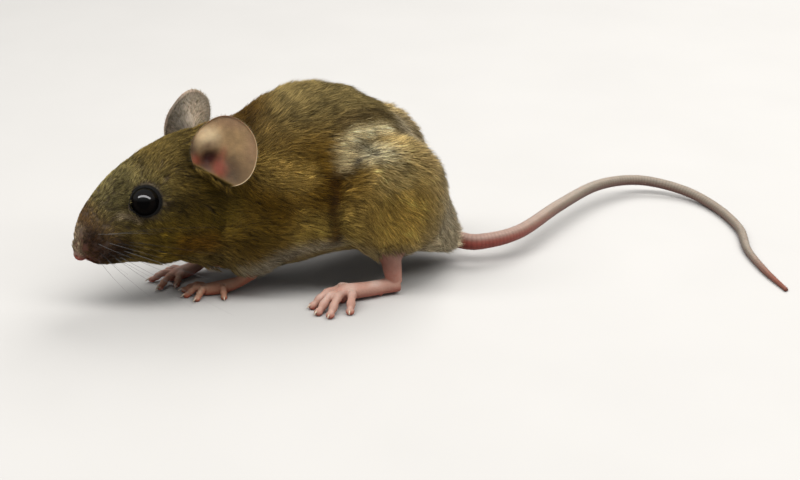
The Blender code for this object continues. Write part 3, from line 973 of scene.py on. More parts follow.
class Finish:
    """A material in the making: its tree, its shader and the nodes that every finish needs."""

    def __init__(self, name: str, **constants: Any) -> None:
        """Makes a plain Principled material.

        Args:
            name: The material's name.
            **constants: Values of the shader's sockets, with _ for a space.
        """
        self.material = bpy.data.materials.new(name)
        self.material.use_nodes = True
        self.tree = self.material.node_tree
        self.shader = self.tree.nodes["Principled BSDF"]
        for socket, value in constants.items():
            self.shader.inputs[socket.replace("_", " ")].default_value = value

    def node(self, kind: str, settings: Values, inputs: Values, output: str | int = 0) -> Signal:
        """Adds a node to this material."""
        return add_node(self.tree, kind, settings, inputs, output)

    def painted(self, title: str, output: str = "Color") -> Signal:
        """What is painted on the mesh under this name."""
        return self.node("ShaderNodeAttribute", {"attribute_name": title}, {}, output)

    def place(self) -> Signal:
        """The place on the object, in metres."""
        return self.node("ShaderNodeTexCoord", {}, {}, "Object")

    def noise(self, size: float, detail: float = 3.0, rough: float = 0.55) -> Signal:
        """Cloudy noise about 0.5, in clouds of this many millimetres, with finer ones over them."""
        inputs = {"Vector": self.place(), "Scale": 1.0 / (size * MM), "Detail": detail, "Roughness": rough}
        return self.node("ShaderNodeTexNoise", {}, inputs, "Fac")

    def cells(self, size: float) -> Signal:
        """The distance to the nearest of many scattered spots, as on skin in small scales."""
        inputs = {"Vector": self.place(), "Scale": 1.0 / (size * MM)}
        return self.node("ShaderNodeTexVoronoi", {"feature": "F1"}, inputs, "Distance")

    def scaled(self, colour: Signal | Triple, amount: Signal) -> Signal:
        """A colour made lighter or darker by an amount."""
        return self.node("ShaderNodeVectorMath", {"operation": "SCALE"}, {0: colour, "Scale": amount})

    def feed(self, socket: str, signal: Signal) -> None:
        """Links a signal to the shader."""
        self.tree.links.new(signal.socket, self.shader.inputs[socket])

    def tint(self, amount: Signal) -> None:
        """Feeds the painted colour, made lighter or darker by an amount."""
        self.feed("Base Color", self.scaled(self.painted("tint"), amount))

    def relief(self, height: Signal, depth: float) -> None:
        """Raises the surface by a height of this many millimetres, as bump."""
        inputs = {"Height": height, "Distance": depth * MM, "Strength": 1.0}
        self.feed("Normal", self.node("ShaderNodeBump", {}, inputs, "Normal"))

    def dress(self, piece: bpy.types.Object) -> None:
        """Puts the material on a piece."""
        piece.data.materials.clear()
        piece.data.materials.append(self.material)


class SkinFinish(Finish):
    """Soft, finely creased skin that carries the painted colours."""

    mottle = 1.4
    grain = 0.28

    def __init__(self) -> None:
        """Builds the material."""
        super().__init__(
            "skin",
            Subsurface_Weight=0.12,
            Subsurface_Radius=(1.0, 0.35, 0.22),
            Subsurface_Scale=0.0006,
            Specular_IOR_Level=0.25,
        )
        cloud, fine = self.noise(self.mottle), self.noise(self.grain, 2.0)
        self.tint(0.72 + 0.34 * cloud + 0.22 * fine)
        self.feed("Roughness", self.painted("dull", "Fac") + 0.14 * (fine - 0.5))
        self.relief(self.cells(self.grain) * 0.5 + fine, 0.035)


class HairFinish(Finish):
    """Hair that carries its painted colours, a little lighter and darker along its length."""

    streak = 0.5

    def __init__(self, name: str = "coat_hair") -> None:
        """Builds the material.

        Args:
            name: The material's name.
        """
        super().__init__(name, Specular_IOR_Level=0.12)
        streak = self.noise(self.streak, 2.0)
        self.tint(0.78 + 0.44 * streak)
        self.feed("Roughness", 0.55 + 0.2 * streak)


class EyeFinish(Finish):
    """A wet, nearly black eye with a faint brown iris."""

    fibres = 0.35

    def __init__(self) -> None:
        """Builds the material."""
        super().__init__("eye", Coat_Roughness=0.04, Coat_IOR=1.45, Roughness=0.3, Specular_IOR_Level=0.0)
        # the painted wet share keeps the coat, and with it the reflection, to the eye's upper part
        self.feed("Coat Weight", self.painted("wet", "Fac"))
        self.tint(0.6 + 0.8 * self.noise(self.fibres, 4.0))


class ClawFinish(Finish):
    """Translucent pale horn with the pink quick showing at its root."""

    ridges = 0.12

    def __init__(self) -> None:
        """Builds the material."""
        horn = {"Subsurface_Weight": 0.1, "Subsurface_Scale": 0.0003}
        super().__init__("claw", Coat_Weight=0.3, Coat_Roughness=0.15, **horn)
        ridges = self.noise(self.ridges, 2.0)
        self.tint(0.85 + 0.3 * ridges)
        self.feed("Roughness", 0.3 + 0.15 * ridges)
        self.relief(ridges, 0.01)


class FloorFinish(Finish):
    """A plain, pale, matt floor."""

    shade = (0.66, 0.65, 0.635)
    clouds = 30.0

    def __init__(self) -> None:
        """Builds the material."""
        super().__init__("floor", Specular_IOR_Level=0.2)
        cloud = self.noise(self.clouds, 2.0)
        self.feed("Base Color", self.scaled(tuple(linear(self.shade)), 0.97 + 0.06 * cloud))
        self.feed("Roughness", 0.75 + 0.1 * cloud)


# ---- placing pieces
@dataclass(frozen=True)
class Part:
    """A sub-assembly, which is set out in the mouse's layout."""

    layout: Layout


def settle(piece: bpy.types.Object, slot: str, nodes: Sequence[str] = ()) -> None:
    """Hands a finished piece to the frame.

    Args:
        piece: The piece, in place.
        slot: The name of a material slot; it is not used.
        nodes: The solids that it stands for.
    """
    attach(piece, ROOT_BODY)
    if nodes:
        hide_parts(*nodes)
    LOG.info("%s: %d triangles", piece.name, len(piece.data.polygons))


# ---- feet
@dataclass(frozen=True)
class Toe:
    """A toe in its foot's own directions, forward and outward of the ankle, from root to tip."""

    root: Pair
    tip: Pair


# places along a toe, as shares of its length, and its lift there, as shares of its arch
KNUCKLES = ((0.0, 0.9), (0.3, 1.08), (0.56, 0.8), (0.82, 0.16), (1.0, 0.0))


@dataclass(frozen=True)
class Foot:
    """A foot: its place on the floor, its sole, its toes and the leg that it hangs from."""

    kind: str
    side: Side
    ankle: Pair
    heading: float
    sole: tuple[Triple, ...]
    sole_radii: tuple[float, ...]
    toes: tuple[Toe, ...]
    toe_radius: float
    leg_line: tuple[Triple, ...]
    leg_radii: tuple[float, ...]
    bare_leg: int
    toe_arch: float
    toe_level: float = 0.85
    claw_length: float = 1.15
    ankle_bare: float = 3.4
    toe_bare: float = 3.6
    sole_bare: float = 4.6

    @property
    def node(self) -> str:
        """The name of the foot's solid."""
        return f"{self.kind}_foot_{self.side.letter}"

    def point(self, forward: float, out: float, up: float) -> Array:
        """A point given forward and outward of the ankle.

        Args:
            forward: How far forward.
            out: How far outward.
            up: How high above the floor.

        Returns:
            The point in the layout.
        """
        turn = math.radians(self.heading)
        cos, sin = math.cos(turn), math.sin(turn)
        x = self.ankle[0] - forward * cos + out * sin
        y = self.ankle[1] + self.side.value * (forward * sin + out * cos)
        return np.array([x, y, up])

    def leg_form(self) -> Surface:
        """The lower leg, from inside the body down to the ankle.

        Returns:
            The closed form.
        """
        line = np.array(self.leg_line) * (1.0, self.side.value, 1.0) + (*self.ankle, 0.0)
        path = smooth_path(line, 8)
        share = shares(len(path))
        radii = np.interp(share, shares(len(self.leg_radii)), self.leg_radii)
        return ring_tube(path, radii, 24)

    def toe_path(self, toe: Toe, steps: int = 6) -> Array:
        """The line of a toe from its root over its knuckles to its pad.

        Args:
            toe: The toe.
            steps: Points between the line's own ones.

        Returns:
            The line's points.
        """
        low = self.toe_radius * self.toe_level
        knots = []
        for share, lift in KNUCKLES:
            forward = toe.root[0] + (toe.tip[0] - toe.root[0]) * share
            out = toe.root[1] + (toe.tip[1] - toe.root[1]) * share
            knots.append(self.point(forward, out, low + self.toe_arch * lift))
        return smooth_path(knots, steps)

    def toe_form(self, toe: Toe) -> list[Surface]:
        """A toe with its knuckles, its joint creases and its round end pad.

        Args:
            toe: The toe.

        Returns:
            Its closed forms.
        """
        path = self.toe_path(toe)
        share = shares(len(path))
        waist = 1.05 - 0.12 * share
        waist += 0.14 * bump_at(share, 0.32, 0.08) + 0.16 * bump_at(share, 0.6, 0.07)
        waist -= 0.1 * bump_at(share, 0.46, 0.06) + 0.14 * bump_at(share, 0.76, 0.06)
        waist *= 1.0 - 0.45 * ease(0.93, 1.0, share)
        form = ring_tube(path, self.toe_radius * waist, 14, floor=0.0)
        pad = path[-4] - (0.0, 0.0, self.toe_radius * 0.12)
        size = self.toe_radius
        return [form, ball(pad, (size * 1.08, size * 1.02, size * 0.86), rows=12)]

    def form(self) -> Surface:
        """The whole foot as overlapping closed forms, for the skin to be drawn over.

        Returns:
            The forms as one surface.
        """
        sole = smooth_path([self.point(*each) for each in self.sole], 6)
        places = shares(len(self.sole_radii))
        radii = np.interp(shares(len(sole)), places, self.sole_radii)
        parts = [self.leg_form(), ring_tube(sole, radii, 20, floor=0.12)]
        for toe in self.toes:
            parts.extend(self.toe_form(toe))
        for forward, out, size in self.pads():
            centre = self.point(forward, out, size * 0.75)
            parts.append(ball(centre, (size, size * 0.9, size * 0.75), rows=10))
        return Surface.joined(parts)

    def bare(self) -> list[tuple[Array, float]]:
        """Places and reaches of the bare skin of foot and ankle.

        Returns:
            Each place with its reach.
        """
        line = np.array(self.leg_line) * (1.0, self.side.value, 1.0) + (*self.ankle, 0.0)
        made = [(place, self.ankle_bare) for place in line[-self.bare_leg :]]
        for toe in self.toes:
            for share in (0.0, 0.35, 0.7, 1.0):
                place = np.array(toe.root) * (1.0 - share) + np.array(toe.tip) * share
                made.append((self.point(*place, 1.2), self.toe_bare))
        return made + [(self.point(ahead, 0.0, 1.6), self.sole_bare) for ahead, _, _ in self.sole]

    def pads(self) -> list[Triple]:
        """The walking pads under the sole: forward, outward and size.

        Returns:
            Three numbers a pad.
        """
        made = []
        for first, second in zip(self.toes, self.toes[1:]):
            forward = (first.root[0] + second.root[0]) / 2.0 - 0.5
            made.append((forward, (first.root[1] + second.root[1]) / 2.0, self.toe_radius * 0.75))
        heel = self.toes[0].root[0] * 0.45
        made.append((heel, -0.25, self.toe_radius * 0.6))
        made.append((heel * 0.8, 0.25, self.toe_radius * 0.6))
        return made

    def claws(self) -> Surface:
        """The foot's claws: curved, pointed, out of the top of each toe's end.

        Returns:
            The claws as one painted surface.
        """
        parts = []
        for toe in self.toes:
            path = self.toe_path(toe)
            ahead = unit((path[-1] - path[-4]) * (1.0, 1.0, 0.0))
            start = path[-3] + (0.0, 0.0, self.toe_radius * 0.35)
            share = shares(9)[:, None]
            reach = self.claw_length * share
            drop = np.hstack([share * 0, share * 0, 0.18 * np.sin(share * 2.2) - 0.75 * share**2.2])
            line = start + ahead * reach + drop * self.claw_length * 0.6
            line[:, 2] = np.maximum(line[:, 2], 0.1)
            radius = 0.24 * (1.0 - 0.9 * share[:, 0]) ** 0.8 + 0.02
            claw = ring_tube(line, radius, 10, floor=0.02)
            along = claw.paint["along"][:, None]
            tint = Shade.CLAW.over(Shade.CLAW_QUICK.light, ease(0.1, 0.5, along))
            parts.append(Surface(claw.points, claw.triangles, {"tint": tint}))
        return Surface.joined(parts)


HIND_TOES = (
    Toe((8.6, -1.3), (12.4, -2.9)),
    Toe((11.2, -1.2), (17.1, 0.3)),
    Toe((11.4, -0.3), (17, 3.2)),
    Toe((10.8, 0.3), (15.4, 5.3)),
    Toe((8.6, 0.5), (11.4, 5.4)),
)
HIND_SOLE = ((-0.5, 0, 2), (2.4, 0, 1.75), (6.4, 0, 1.85), (10, -0.3, 1.95), (12.4, -0.3, 1.9))
HIND_SOLE_RADII = (1.75, 1.4, 1.45, 1.6, 0.75)
FORE_SOLE = ((0, 0, 1.9), (1.6, 0, 1.5), (4, 0, 1.15), (6.2, 0, 1), (7.6, 0, 1))
FORE_SOLE_RADII = (1.05, 1.2, 1.35, 1.2, 0.5)
NEAR_FINGERS = (
    Toe((6.4, -1.1), (10.4, -1.9)),
    Toe((6.9, -0.4), (10.2, 0.5)),
    Toe((6.4, 0.4), (8.4, 2.6)),
    Toe((3.1, 0.5), (3.3, 3.2)),
)
FAR_FINGERS = (
    Toe((4.8, -0.8), (7.4, -3.2)),
    Toe((6, -0.3), (10.6, -2.2)),
    Toe((6, 0.6), (10.2, 1.9)),
    Toe((4, 0.9), (6.8, 3.3)),
)
SHANK_LINE = ((-1.9, 0.1, 10.6), (-0.9, 0.3, 7.4), (-0.5, 0.1, 4.8), (-0.1, 0, 2.1))
SHANK_RADII = (2.3, 1.95, 1.75, 1.45)
NEAR_FOREARM = ((4.6, 1.6, 10), (3.8, 1.2, 6.6), (2, 0.4, 3.6), (0, 0, 1.9))
FAR_FOREARM = ((6.8, 2.6, 10), (5, 2.2, 6.6), (2.2, 1, 3.6), (0, 0, 1.9))
FOREARM_RADII = (2, 1.6, 1.25, 1.05)
HIND = (HIND_SOLE, HIND_SOLE_RADII, HIND_TOES, 0.78, SHANK_LINE, SHANK_RADII, 3, 1.55)
NEAR_HAND = (FORE_SOLE, FORE_SOLE_RADII, NEAR_FINGERS, 0.62, NEAR_FOREARM, FOREARM_RADII, 2, 0.95)
FAR_HAND = (FORE_SOLE, FORE_SOLE_RADII, FAR_FINGERS, 0.62, FAR_FOREARM, FOREARM_RADII, 2, 0.95)
FEET = (
    Foot("hind", Side.LEFT, (11.4, -11.9), 12, *HIND),
    Foot("hind", Side.RIGHT, (14, 11.9), 12, *HIND),
    Foot("fore", Side.LEFT, (-17.2, -5.2), 2, *NEAR_HAND),
    Foot("fore", Side.RIGHT, (-23.4, 4.6), -25, *FAR_HAND),
)


# ---- ears
@dataclass(frozen=True)
class Fold:
    """A soft rise or hollow inside an ear, with its colour, some of it painted shadow, by its place ahead
    of and above the ear's middle.
    """

    ahead: float
    up: float
    wide: float
    high: float
    lean: float
    height: float
    shade: Shade
    strength: float

    def share(self, ahead: Array, up: Array) -> Array:
        """How much of the fold there is at each place, from 0 to 1.

        Args:
            ahead: How far ahead of the ear's middle.
            up: How far above it.

        Returns:
            One share a place.
        """
        turn = math.radians(self.lean)
        across = (ahead - self.ahead) * math.cos(turn) + (up - self.up) * math.sin(turn)
        along = (up - self.up) * math.cos(turn) - (ahead - self.ahead) * math.sin(turn)
        return np.exp(-(((across / self.wide) ** 2 + (along / self.high) ** 2) ** 1.3))


FOLDS = (
    Fold(-1.6, 5.4, 5, 1.5, 6, 0, Shade.EAR_BAND, 0.55),
    Fold(-5.3, 1.6, 1.5, 4.2, 12, 0, Shade.EAR_BAND, 0.5),
    # painted shadow: below the flap, behind it and along the ear's front edge
    Fold(-1.6, -3.8, 4.6, 3.2, 20, 0, Shade.EAR_SHADE, 0.75),
    Fold(-0.7, -2.7, 1.6, 2.2, 15, 0, Shade.EAR_SHADE, 0.72),
    Fold(5.6, 0.6, 0.9, 4.8, -8, 0, Shade.EAR_SHADE, 0.9),
    Fold(5, -1.2, 1.2, 1.2, 0, 0, Shade.EAR_FLAP, 0.35),
    Fold(2.8, 2.5, 2.1, 1.75, -25, 0.7, Shade.EAR_FOLD, 0.9),
    Fold(2.9, 1.3, 1.3, 0.6, -12, 0, Shade.EAR_BAND, 0.5),
    Fold(0.4, -0.3, 0.8, 1.5, 18, 0.35, Shade.EAR_FLAP, 0.5),
    Fold(1.25, -2.6, 1.4, 2.1, -14, 0.6, Shade.EAR_FLAP, 0.9),
    # the canal: hollows painted dark red, the red skin darkened as painted shade of the deep hole
    Fold(2.9, -0.9, 1.95, 1.4, -15, -0.6, Shade.EAR_CANAL, 1),
    Fold(3.5, -2.6, 1.3, 1.5, -20, -0.3, Shade.EAR_CANAL, 0.8),
    Fold(5.2, -1.4, 0.8, 1, 0, 0.2, Shade.EAR_FLAP, 0.45),
)


@dataclass(frozen=True)
class Ear(Part):
    """One ear: a thin round shell that narrows into the canal, with folds at its front."""

    side: Side
    place: Triple
    facing: Triple
    sink: float
    size: Pair = (5.9, 6.3)
    canal: Triple = (2.9, -0.9, -2.1)
    canal_radius: float = 0.7
    root_depth: float = 2.6
    brim_way: Pair = (0.5, -0.865)
    brim_reach: float = 5.0
    brim_middle: Triple = (2.4, -4.5, -1.5)
    wall: Pair = (0.7, 0.28)
    rows: int = 44
    around: int = 100

    def frame(self) -> Four:
        """The ear's middle and its forward, up and outward directions.

        Returns:
            The middle and the three directions.
        """
        ahead, out, up = self.facing
        facing = self.layout.head_way(ahead, out * self.side.value, up)
        rise = np.array([0.0, 0.0, 1.0])
        rise = unit(rise - facing * rise.dot(facing))
        front = np.cross(rise, facing) * self.side.value
        ahead, out, up = self.place
        return self.layout.head(ahead, out * self.side.value, up), front, rise, facing

    def grid(self) -> tuple[Array, Array]:
        """Shares from canal to rim and angles, for the rows and columns of the shell."""
        angle = np.arange(self.around) * (math.tau / self.around)
        return np.meshgrid(shares(self.rows), angle, indexing="ij")

    def local(self, back: bool) -> Array:
        """Points over the inner face or the back: ahead of, above and out from the ear's middle.

        Args:
            back: Whether the back is meant.

        Returns:
            The points in rows.
        """
        share, angle = self.grid()
        spread = 1.0 - (1.0 - share) ** 1.5
        cos, sin = np.cos(angle), np.sin(angle)
        lobe = 1.0 + (0.02 * np.cos(3.0 * angle + 0.6) + 0.012 * np.sin(5.0 * angle)) * share
        wide = (self.canal_radius + (self.size[0] - self.canal_radius) * spread) * lobe
        high = (self.canal_radius + (self.size[1] - self.canal_radius) * spread) * lobe
        ahead = self.canal[0] * (1.0 - spread) + wide * cos
        up = self.canal[1] * (1.0 - spread) + high * sin
        out = self.canal[2] * (1.0 - share) ** 2 - 0.9 * share * cos
        out = out - self.sink * np.maximum(self.chord(ahead, up) + 0.5, 0.0) ** 1.4
        edge = 1.0 - ease(0.96, 1.0, share)
        if back:
            out = out - (self.wall[0] + (self.wall[1] - self.wall[0]) * share) * edge
            out = out - self.root_depth * (1.0 - share) ** 3
        else:
            out = out + sum(fold.height * fold.share(ahead, up) for fold in FOLDS) * edge
        out = out + 0.3 * ease(0.86, 1.0, share) ** 2 + 0.1 * np.sin(angle * 2.0 + 0.5) * share**2
        return np.stack([ahead, up, out], 2)

    def chord(self, ahead: Array, up: Array) -> Array:
        """How far places lie beyond the line below which fur covers the ear's lower front."""
        return self.brim_way[0] * ahead + self.brim_way[1] * up - self.brim_reach

    def brim(self) -> tuple[Array, Array]:
        """The middle of the ear's furred lower front and the way the fur runs along it.

        Returns:
            The place and the direction.
        """
        _, front, rise, _ = self.frame()
        way = self.brim_way[1] * front - self.brim_way[0] * rise
        return self.placed(np.array(self.brim_middle)), unit(way)

    def brim_roots(self, count: int, random: Random) -> tuple[Array, Array]:
        """Places and outward directions of tufts on the lower front, beyond the chord.

        Args:
            count: How many tufts.
            random: Random numbers.

        Returns:
            The places and the directions.
        """
        local = self.local(back=False)
        rows = self.placed(local)
        row, column = np.nonzero(self.chord(local[:-1, :, 0], local[:-1, :, 1]) > -0.4)
        chosen = random.integers(0, len(row), count)
        row, column = row[chosen], column[chosen]
        after = (column + 1) % self.around
        step, share = random.uniform(size=(2, count, 1))
        roots = rows[row, column]
        along, across = rows[row + 1, column] - roots, rows[row, after] - roots
        normal = unit(np.cross(along, across))
        normal = np.where((normal @ self.frame()[3])[:, None] < 0.0, -normal, normal)
        return roots + along * step + across * share, normal

    def placed(self, local: Array) -> Array:
        """Points of the ear in the layout."""
        middle, front, rise, facing = self.frame()
        return middle + local @ np.stack([front, rise, facing])

    def form(self) -> Surface:
        """The whole shell, painted.

        Returns:
            The closed shell.
        """
        inner, outer = self.local(back=False), self.local(back=True)
        rows = self.placed(np.concatenate([inner, outer[::-1]]))
        tint = np.concatenate([self.inner_tint(inner), self.back_tint(outer)[::-1]])
        if self.side is Side.RIGHT:
            rows, tint = rows[:, ::-1], tint[:, ::-1]
        made = Surface.tube(rows)
        # the inner end of the canal is painted dark as painted shade of the deep hole
        tint = np.vstack([tint.reshape(-1, 3), Shade.EAR_CANAL.light, Shade.SKIN.light])
        made.paint = {"tint": tint, "dull": np.full(len(tint), 0.62)}
        return made

    def inner_tint(self, local: Array) -> Array:
        """The colours of the inner face, with painted shadow below and behind the flap and along the front
        edge, and a painted highlight on the rim.

        Args:
            local: The face's points.

        Returns:
            Colours in light values.
        """
        share = self.grid()[0][..., None]
        tint = np.broadcast_to(Shade.EAR_INNER.light, local.shape)
        for fold in FOLDS:
            cover = fold.share(local[..., 0], local[..., 1])[..., None] * fold.strength
            tint = fold.shade.over(tint, cover)
        # the ear's lower front, beyond the chord, is painted as the neck's fur in painted shadow
        fur = ease(-1.0, -0.1, self.chord(local[..., 0:1], local[..., 1:2]))
        tint = Shade.NECK_SIDE.over(tint, fur)
        # painted highlight along the rim, strongest towards the ear's lower back edge
        behind = ease(2.0, -3.5, local[..., 0:1] + 0.6 * local[..., 1:2])
        rim = ease(0.91, 0.98, share) * (1.0 - fur) * (0.12 + 0.75 * behind)
        tint = Shade.EAR_FOLD.over(tint, rim)
        flat = local.reshape(-1, 3)
        veins = 1.0 + 0.09 * Waves(1.6, SEED + 30)(flat) + 0.07 * Waves(0.45, SEED + 33)(flat)
        return tint * veins.reshape(share.shape)

    def back_tint(self, local: Array) -> Array:
        """The colours of the back.

        Args:
            local: The face's points.

        Returns:
            Colours in light values.
        """
        share = self.grid()[0][..., None]
        tint = Shade.EAR_BAND.over(Shade.EAR_BACK.light, ease(0.7, 1.0, share) * 0.4)
        tint = tint * (1.0 - 0.55 * ease(0.6, 4.2, local[..., 0:1]))
        place = np.stack([local[..., 0], local[..., 1], local[..., 2] * 0.0], -1).reshape(-1, 3)
        pale = np.clip(0.5 * Waves(3.2, SEED + 31)(place) + 0.25, 0.0, 0.8).reshape(share.shape)
        return Shade.EAR_PALE.over(tint, pale)

    def holds(self, points: Array) -> Array:
        """Which points are in the open cup of the ear or in its shell.

        Args:
            points: The places.

        Returns:
            True for those points.
        """
        middle, front, rise, facing = self.frame()
        local = (points - middle) @ np.stack([front, rise, facing]).T
        near = (local[:, 0] / self.size[0]) ** 2 + (local[:, 1] / self.size[1]) ** 2 < 0.98
        near &= (local[:, 2] > self.canal[2] - 1.5) & (local[:, 2] < 3.0)
        near &= self.chord(local[:, 0], local[:, 1]) + 0.4 * Waves(1.2, SEED + 32)(local) < -0.5
        chosen = np.flatnonzero(near)
        shell = self.local(back=True).reshape(-1, 3)
        made = np.zeros(len(points), bool)
        for part in np.array_split(chosen, max(1, len(chosen) // 500)):
            gap = ((local[part, None, :2] - shell[:, :2]) ** 2).sum(2)
            made[part] = local[part, 2] > shell[gap.argmin(1), 2] - 0.05
        return made

    def fuzz_roots(self, count: int, random: Random) -> Four:
        """Roots, outward directions, lies and bake places of the short hair on the back.

        Args:
            count: How many hairs.
            random: Random numbers.

        Returns:
            Those four, as rows.
        """
        rows = self.placed(self.local(back=True))
        row = (random.power(1.2, count) * (self.rows - 2)).astype(int)
        column = random.integers(0, self.around, count)
        after = (column + 1) % self.around
        roots = rows[row, column]
        along = unit(rows[row + 1, column] - roots)
        normal = unit(np.cross(along, rows[row, after] - roots))
        facing = self.frame()[3]
        normal = np.where((normal @ facing)[:, None] > 0.0, -normal, normal)
        spot = np.stack([column / self.around, row / self.rows], 1)
        return roots, normal, along, spot


EARS = (
    # side, place, facing, sink
    (Side.LEFT, (6.9, 8.9, 30), (0.3, 0.88, 0.36), 3),
    (Side.RIGHT, (8.6, 8.3, 30.1), (0.36, 0.92, 0.12), 0.8),
)


# ---- tail
@dataclass(frozen=True)
class Tail:
    """The tail: a long tapering tube in rings of scales, lying on the floor towards its end."""

    line: tuple[Triple, ...] = (
        (21.5, 0.9, 6.2),
        (26.2, -0.4, 4.5),
        (30.4, -2.5, 4.5),
        (39, -0.1, 4.8),
        (50.8, 11.2, 4.6),
        (62.5, 20.9, 4.2),
        (73, 24.2, 3.2),
        (81.4, 20.2, 1.9),
        (85.6, 12, 1.02),
        (86.2, 0.6, 0.86),
        (83.6, -9.6, 0.72),
        (83, -19, 0.6),
        (83.6, -27, 0.36),
    )
    radii: tuple[float, ...] = (1.9, 1.72, 1.6, 1.42, 1.28, 1.18, 1.12, 1.08, 1.02, 0.94, 0.8, 0.66, 0.4)
    rings: int = 170
    steps_a_ring: int = 3
    sides: int = 20

    def middle_line(self) -> tuple[Array, Array]:
        """Evenly spaced points along the tail and the radius at each.

        Returns:
            The points and the radii.
        """
        dense = smooth_path(self.line, 40)
        walked = np.concatenate([[0.0], np.cumsum(np.linalg.norm(np.diff(dense, axis=0), axis=1))])
        places = np.linspace(0.0, walked[-1], self.rings * self.steps_a_ring + 1)
        path = np.stack([np.interp(places, walked, dense[:, axis]) for axis in range(3)], 1)
        share = np.interp(places, walked, shares(len(dense)))
        radii = np.interp(share, shares(len(self.radii)), self.radii)
        return path, radii

    def form(self) -> Surface:
        """The tail with its scale rings, painted, with a painted highlight along its top and partly painted
        shade underneath.

        Returns:
            The closed tube.
        """
        path, radii = self.middle_line()
        step = np.arange(len(path)) % self.steps_a_ring / self.steps_a_ring
        ridge = 1.0 + 0.035 * (step - 0.5)
        made = ring_tube(path, radii * 0.97 * ridge, self.sides, floor=0.01)
        along, angle = made.paint["along"][:, None], made.paint["round"][:, None]
        level = made.normals()[:, 2:3]
        # darker below, partly painted shade, with a painted highlight along the top
        upper, crest_highlight = ease(-0.5, 0.6, level), ease(0.55, 0.95, level)
        root = (1.0 - ease(0.05, 0.36, along)) * (1.0 - 0.65 * ease(0.1, 0.8, level))
        tip = ease(0.86, 0.98, along)
        tint = Shade.TAIL_TOP.over(Shade.TAIL_UNDER.light, upper)
        tint = Shade.TAIL_LIGHT.over(tint, crest_highlight * (0.75 - 0.45 * ease(0.1, 0.6, along)))
        tint = Shade.TAIL_ROOT.over(tint, root)
        tint = Shade.TAIL_TIP.over(tint, tip * 0.8)
        groove = np.repeat(np.arange(len(path)) % self.steps_a_ring == 0, self.sides)
        groove = np.concatenate([groove, [False, False]])[:, None]
        tint = tint * (1.0 - 0.18 * groove) * (1.0 + 0.03 * np.sin(9.0 * angle))
        made.paint = {"tint": tint, "dull": np.full(len(tint), 0.5)}
        return made

    def hair_roots(self, each: int, random: Random) -> Four:
        """Roots, outward directions, lies and bake places of the hairs between the scale rings.

        Args:
            each: How many hairs a ring has.
            random: Random numbers.

        Returns:
            Those four, as rows.
        """
        path, radii = self.middle_line()
        places = np.repeat(np.arange(self.steps_a_ring * 6, len(path) - 1, self.steps_a_ring), each)
        along = unit(path[places + 1] - path[places - 1])
        side = unit(np.cross(along, (0.0, 0.0, 1.0)))
        rise = np.cross(side, along)
        angle = random.uniform(0.0, math.tau, len(places))[:, None]
        normal = np.cos(angle) * side + np.sin(angle) * rise
        roots = path[places] + normal * radii[places][:, None] * 0.95
        keep = roots[:, 2] > 0.12
        spot = np.stack([places / len(path), angle[:, 0] / math.tau], 1)
        return roots[keep], normal[keep], along[keep], spot[keep]


